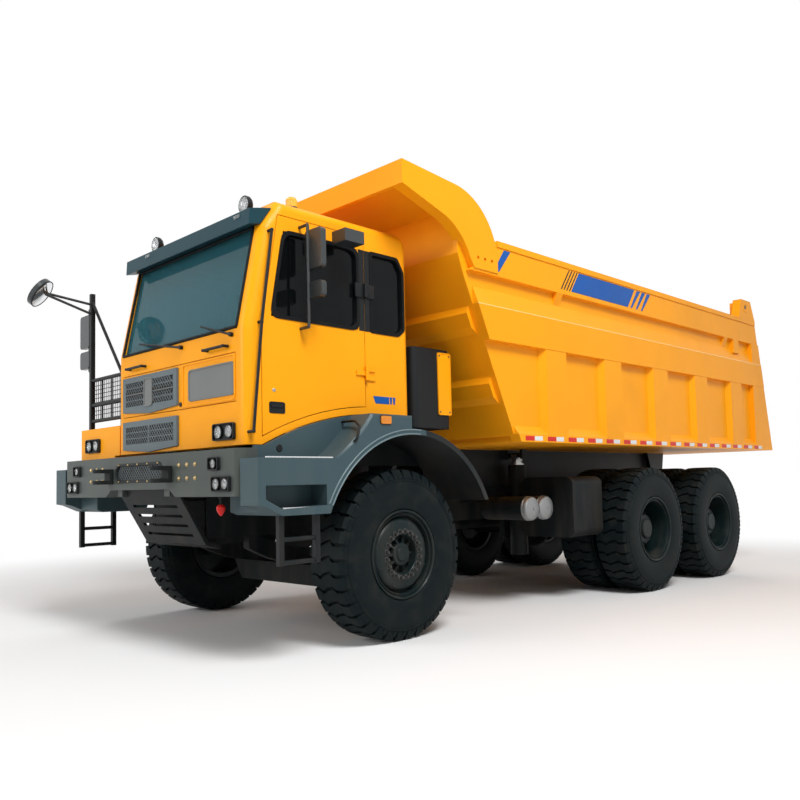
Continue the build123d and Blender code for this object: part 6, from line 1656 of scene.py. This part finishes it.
@dataclass
class Seat:
    """One cab seat: pedestal, cushion, backrest and headrest."""

    finishes: Finishes
    name: str
    y: float
    x: float = FRONT_AXLE + 0.12
    floor: float = limits("seats", Axis.Z)[0]
    width: float = 0.510
    tilt: float = 7.0

    def pad(self, name: str, centre: Point, size: Point, channels: Sequence[float], tilt: float) -> None:
        """Add one stuffed pad with sewn channels across its broad face.

        Args:
            name: Name of the pad.
            centre: Its middle.
            size: Thickness, width and length before the tilt.
            channels: Places of the channels along its length, from -1 to 1.
            tilt: Lean of the pad about the y axis, in degrees.
        """
        forge = Forge()
        bmesh.ops.create_cube(forge.mesh, size=2.0)
        bmesh.ops.subdivide_edges(forge.mesh, edges=forge.mesh.edges[:], cuts=15, use_grid_fill=True)
        turn = Matrix.Rotation(math.radians(tilt), 3, "Y")
        for vert in forge.mesh.verts:
            u, v, w = vert.co
            crown = (1 - v**4 * 0.32) * (1 - w**4 * 0.32)
            sewn = sum(math.exp(-(((w - place) / 0.055) ** 2)) for place in channels)
            piped = math.exp(-(((abs(v) - 0.72) / 0.05) ** 2))
            thick = u * crown * (1 - 0.14 * sewn - 0.10 * piped)
            wide = v * (1 - 0.035 * (1 - w * w)) * (1 - 0.06 * u * u)
            long = w * (1 - 0.035 * (1 - v * v)) * (1 - 0.06 * u * u)
            spot = Vector((thick * size[0] / 2, wide * size[1] / 2, long * size[2] / 2))
            vert.co = Vector(centre) + turn @ spot
        piece = forge.place(name, "chassis", self.finishes.cloth, "seat_fabric", crease=180.0)
        smooth = piece.modifiers.new("smooth", "SUBSURF")
        smooth.levels = smooth.render_levels = 1
        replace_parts(piece, "seats")

    def build(self) -> None:
        """Build the seat in the room of its solid."""
        base = Forge()
        x, y, floor = self.x, self.y, self.floor
        base.block((x + 0.08, y - 0.2, floor), (x + 0.42, y + 0.2, floor + 0.30), edge=0.03, segments=3)
        low, high = (x + 0.06, y - 0.235, floor + 0.30), (x + 0.58, y + 0.235, floor + 0.36)
        base.block(low, high, edge=0.02, segments=3)
        piece = base.place(f"{self.name}_seat_base", "chassis", self.finishes.interior, "interior")
        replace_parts(piece, "seats")
        for part, ahead, rise, size, channels, tilt in (
            ("cushion", 0.400, 0.430, (0.13, self.width, 0.46), (-0.35, 0.35), 90.0),
            ("back", 0.075, 0.720, (0.12, self.width, 0.56), (-0.5, 0.0, 0.5), -self.tilt),
            ("headrest", 0.030, 1.075, (0.09, 0.30, 0.15), (), -self.tilt),
        ):
            self.pad(f"{self.name}_seat_{part}", (x + ahead, y, floor + rise), size, channels, tilt)


@dataclass
class Stage:
    """Floor, light and camera."""

    eye: Point = (FRONT_AXLE + 5.028, 6.646, 1.369)
    yaw: float = 224.99
    pitch: float = 3.69
    roll: float = -1.27
    lens: float = 36.21
    drop: float = 0.039
    floor_reach: float = 60.0
    fade: Span = (5.5, 11.0)
    sky: tuple[float, ...] = (1.0, 0.99, 0.97, 1.0)
    sky_power: float = 0.31
    aim: Point = (0, 0, 1.6)

    def build_floor(self) -> None:
        """Add a pale floor that fades into the backdrop."""
        graph = Graph(bpy.data.materials.new("pale_floor"))
        away = graph.node("ShaderNodeVectorMath", {"operation": "LENGTH"}, {0: graph.place()}, "Value")
        tone = graph.mix((0.86, 0.86, 0.86), (0.82, 0.82, 0.82), graph.noise(0.5, 3.0))
        matt = graph.node("ShaderNodeBsdfDiffuse", None, {"Color": tone})
        white = graph.node("ShaderNodeEmission", None, {"Color": WHITE, "Strength": 1.0})
        share = away.ramp(*self.fade) * graph.seen()
        surface = graph.node("ShaderNodeMixShader", None, {0: share, 1: matt, 2: white})
        graph.node("ShaderNodeOutputMaterial", None, {"Surface": surface})
        forge = Forge()
        span = (-self.floor_reach, self.floor_reach)
        forge.faces([(x, y, 0) for x, y in plate(span, span)], [[0, 1, 2, 3]])
        linked("floor", forge.close("floor", graph.owner))

    def build_light(self) -> None:
        """Add a soft sky that looks white, a broad key lamp and two fill lamps."""
        graph = Graph(bpy.data.worlds.new("studio"))
        bpy.context.scene.world = graph.owner
        soft = graph.node("ShaderNodeBackground", None, {"Color": self.sky, "Strength": self.sky_power})
        white = graph.node("ShaderNodeBackground", None, {"Color": WHITE, "Strength": 1.0})
        surface = graph.node("ShaderNodeMixShader", None, {0: graph.seen(), 1: soft, 2: white})
        graph.node("ShaderNodeOutputWorld", None, {"Surface": surface})
        self.lamp("key", (6.0, 9.5, 12.5), 2000.0, 5.0)
        self.lamp("front_fill", (15.0, -4.0, 6.0), 700.0, 6.0)
        self.lamp("back_fill", (-12.0, -7.0, 9.0), 800.0, 7.0)

    def lamp(self, name: str, spot: Point, power: float, size: float) -> None:
        """Add one area lamp that faces the truck.

        Args:
            name: Name of the lamp.
            spot: Its place.
            power: Its power in watts.
            size: Its width in metres.
        """
        data = bpy.data.lights.new(name, "AREA")
        data.energy = power
        data.size = size
        lamp = linked(name, data)
        lamp.location = spot
        lamp.rotation_mode = "QUATERNION"
        lamp.rotation_quaternion = (Vector(self.aim) - Vector(spot)).to_track_quat("-Z", "Y")

    def build_camera(self) -> None:
        """Add the camera at the photograph's angle."""
        yaw, pitch, roll = (math.radians(value) for value in (self.yaw, self.pitch, self.roll))
        ahead = Vector((math.cos(pitch) * math.cos(yaw), math.cos(pitch) * math.sin(yaw), math.sin(pitch)))
        right = ahead.cross(Vector((0, 0, 1))).normalized()
        up = right.cross(ahead)
        level = right * math.cos(roll) + up * math.sin(roll)
        above = up * math.cos(roll) - right * math.sin(roll)
        data = bpy.data.cameras.new("camera")
        data.sensor_width = 36.0
        data.lens = self.lens
        data.shift_y = self.drop
        data.clip_end = 200.0
        camera = linked("camera", data)
        turn = Matrix((level, above, -ahead)).transposed().to_4x4()
        camera.matrix_world = Matrix.Translation(Vector(self.eye)) @ turn
        bpy.context.scene.camera = camera
        bpy.context.scene.view_settings.view_transform = "Standard"

    def build(self) -> None:
        """Build the stage."""
        self.build_floor()
        self.build_light()
        self.build_camera()


@dataclass
class Solids:
    """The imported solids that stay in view, each with its finish."""

    finishes: Finishes

    def dress(self) -> None:
        """Give each solid its finish."""
        kit = self.finishes
        groups: list[tuple[bpy.types.Material, tuple[str, ...]]] = [
            (kit.yellow, (
                "deck_right", "cab_floor", "cab_front", "cab_sides", "cab_rear", "cab_roof", "door_left",
                "door_right", "front_flap", "bed_front", "bed_sides", "tailgate",
            )),
            (kit.floor, ("bed_floor",)),
            (kit.slate, ("fenders",)),
            (kit.bumper, ("bumper",)),
            (kit.visor, ("visor",)),
            (kit.chassis, (
                "frame", "engine", "front_axle", "front_springs", "rear_axles", "bogie", "tanks",
                "knuckle_left", "knuckle_right", "tie_rod", "hoist_barrels", "tow_clevises", "skid_plate",
                "air_tanks",
            )),
            (kit.black, ("tube_work", "air_cleaner", "cab_handles")),
            (kit.shell, ("mirrors_right", "mirrors_left")),
            (kit.grille, ("grille_upper", "grille_lower")),
            (kit.pane, ("cab_glass", "door_left_glass", "door_right_glass")),
            (kit.clear, ("lamps",)),
            (kit.amber, ("beacon",)),
            (kit.interior, ("dash",)),
            (kit.cloth, ("seats",)),
            (kit.bright, ("hoist_sleeves_outer", "hoist_sleeves_inner", "hoist_rods")),
        ]
        for finish, names in groups:
            for name in names:
                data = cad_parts[name].data
                data.materials.clear()
                data.materials.append(finish)


def main() -> None:
    """Build every sub-assembly in order."""
    logging.basicConfig(level=logging.INFO, format="%(message)s")
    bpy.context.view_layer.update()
    finishes = Finishes()
    Solids(finishes).dress()
    for side in Side:
        Wheel(finishes, "front", side, FRONT_AXLE, (side.value * FRONT_TYRE_Y,)).build()
        for name, x in REAR_AXLES.items():
            Wheel(finishes, name, side, x, tuple(side.value * y for y in REAR_TYRE_YS)).build()
    for trim in (CabTrim, FrontTrim, LampSet, FenderTrim, BedTrim, CabinetTrim, TankEnds, GuardMesh):
        trim(finishes).build()
    for name, y in SEAT_YS.items():
        Seat(finishes, name, y).build()
    Stage().build()


if __name__ == "__main__":
    main()
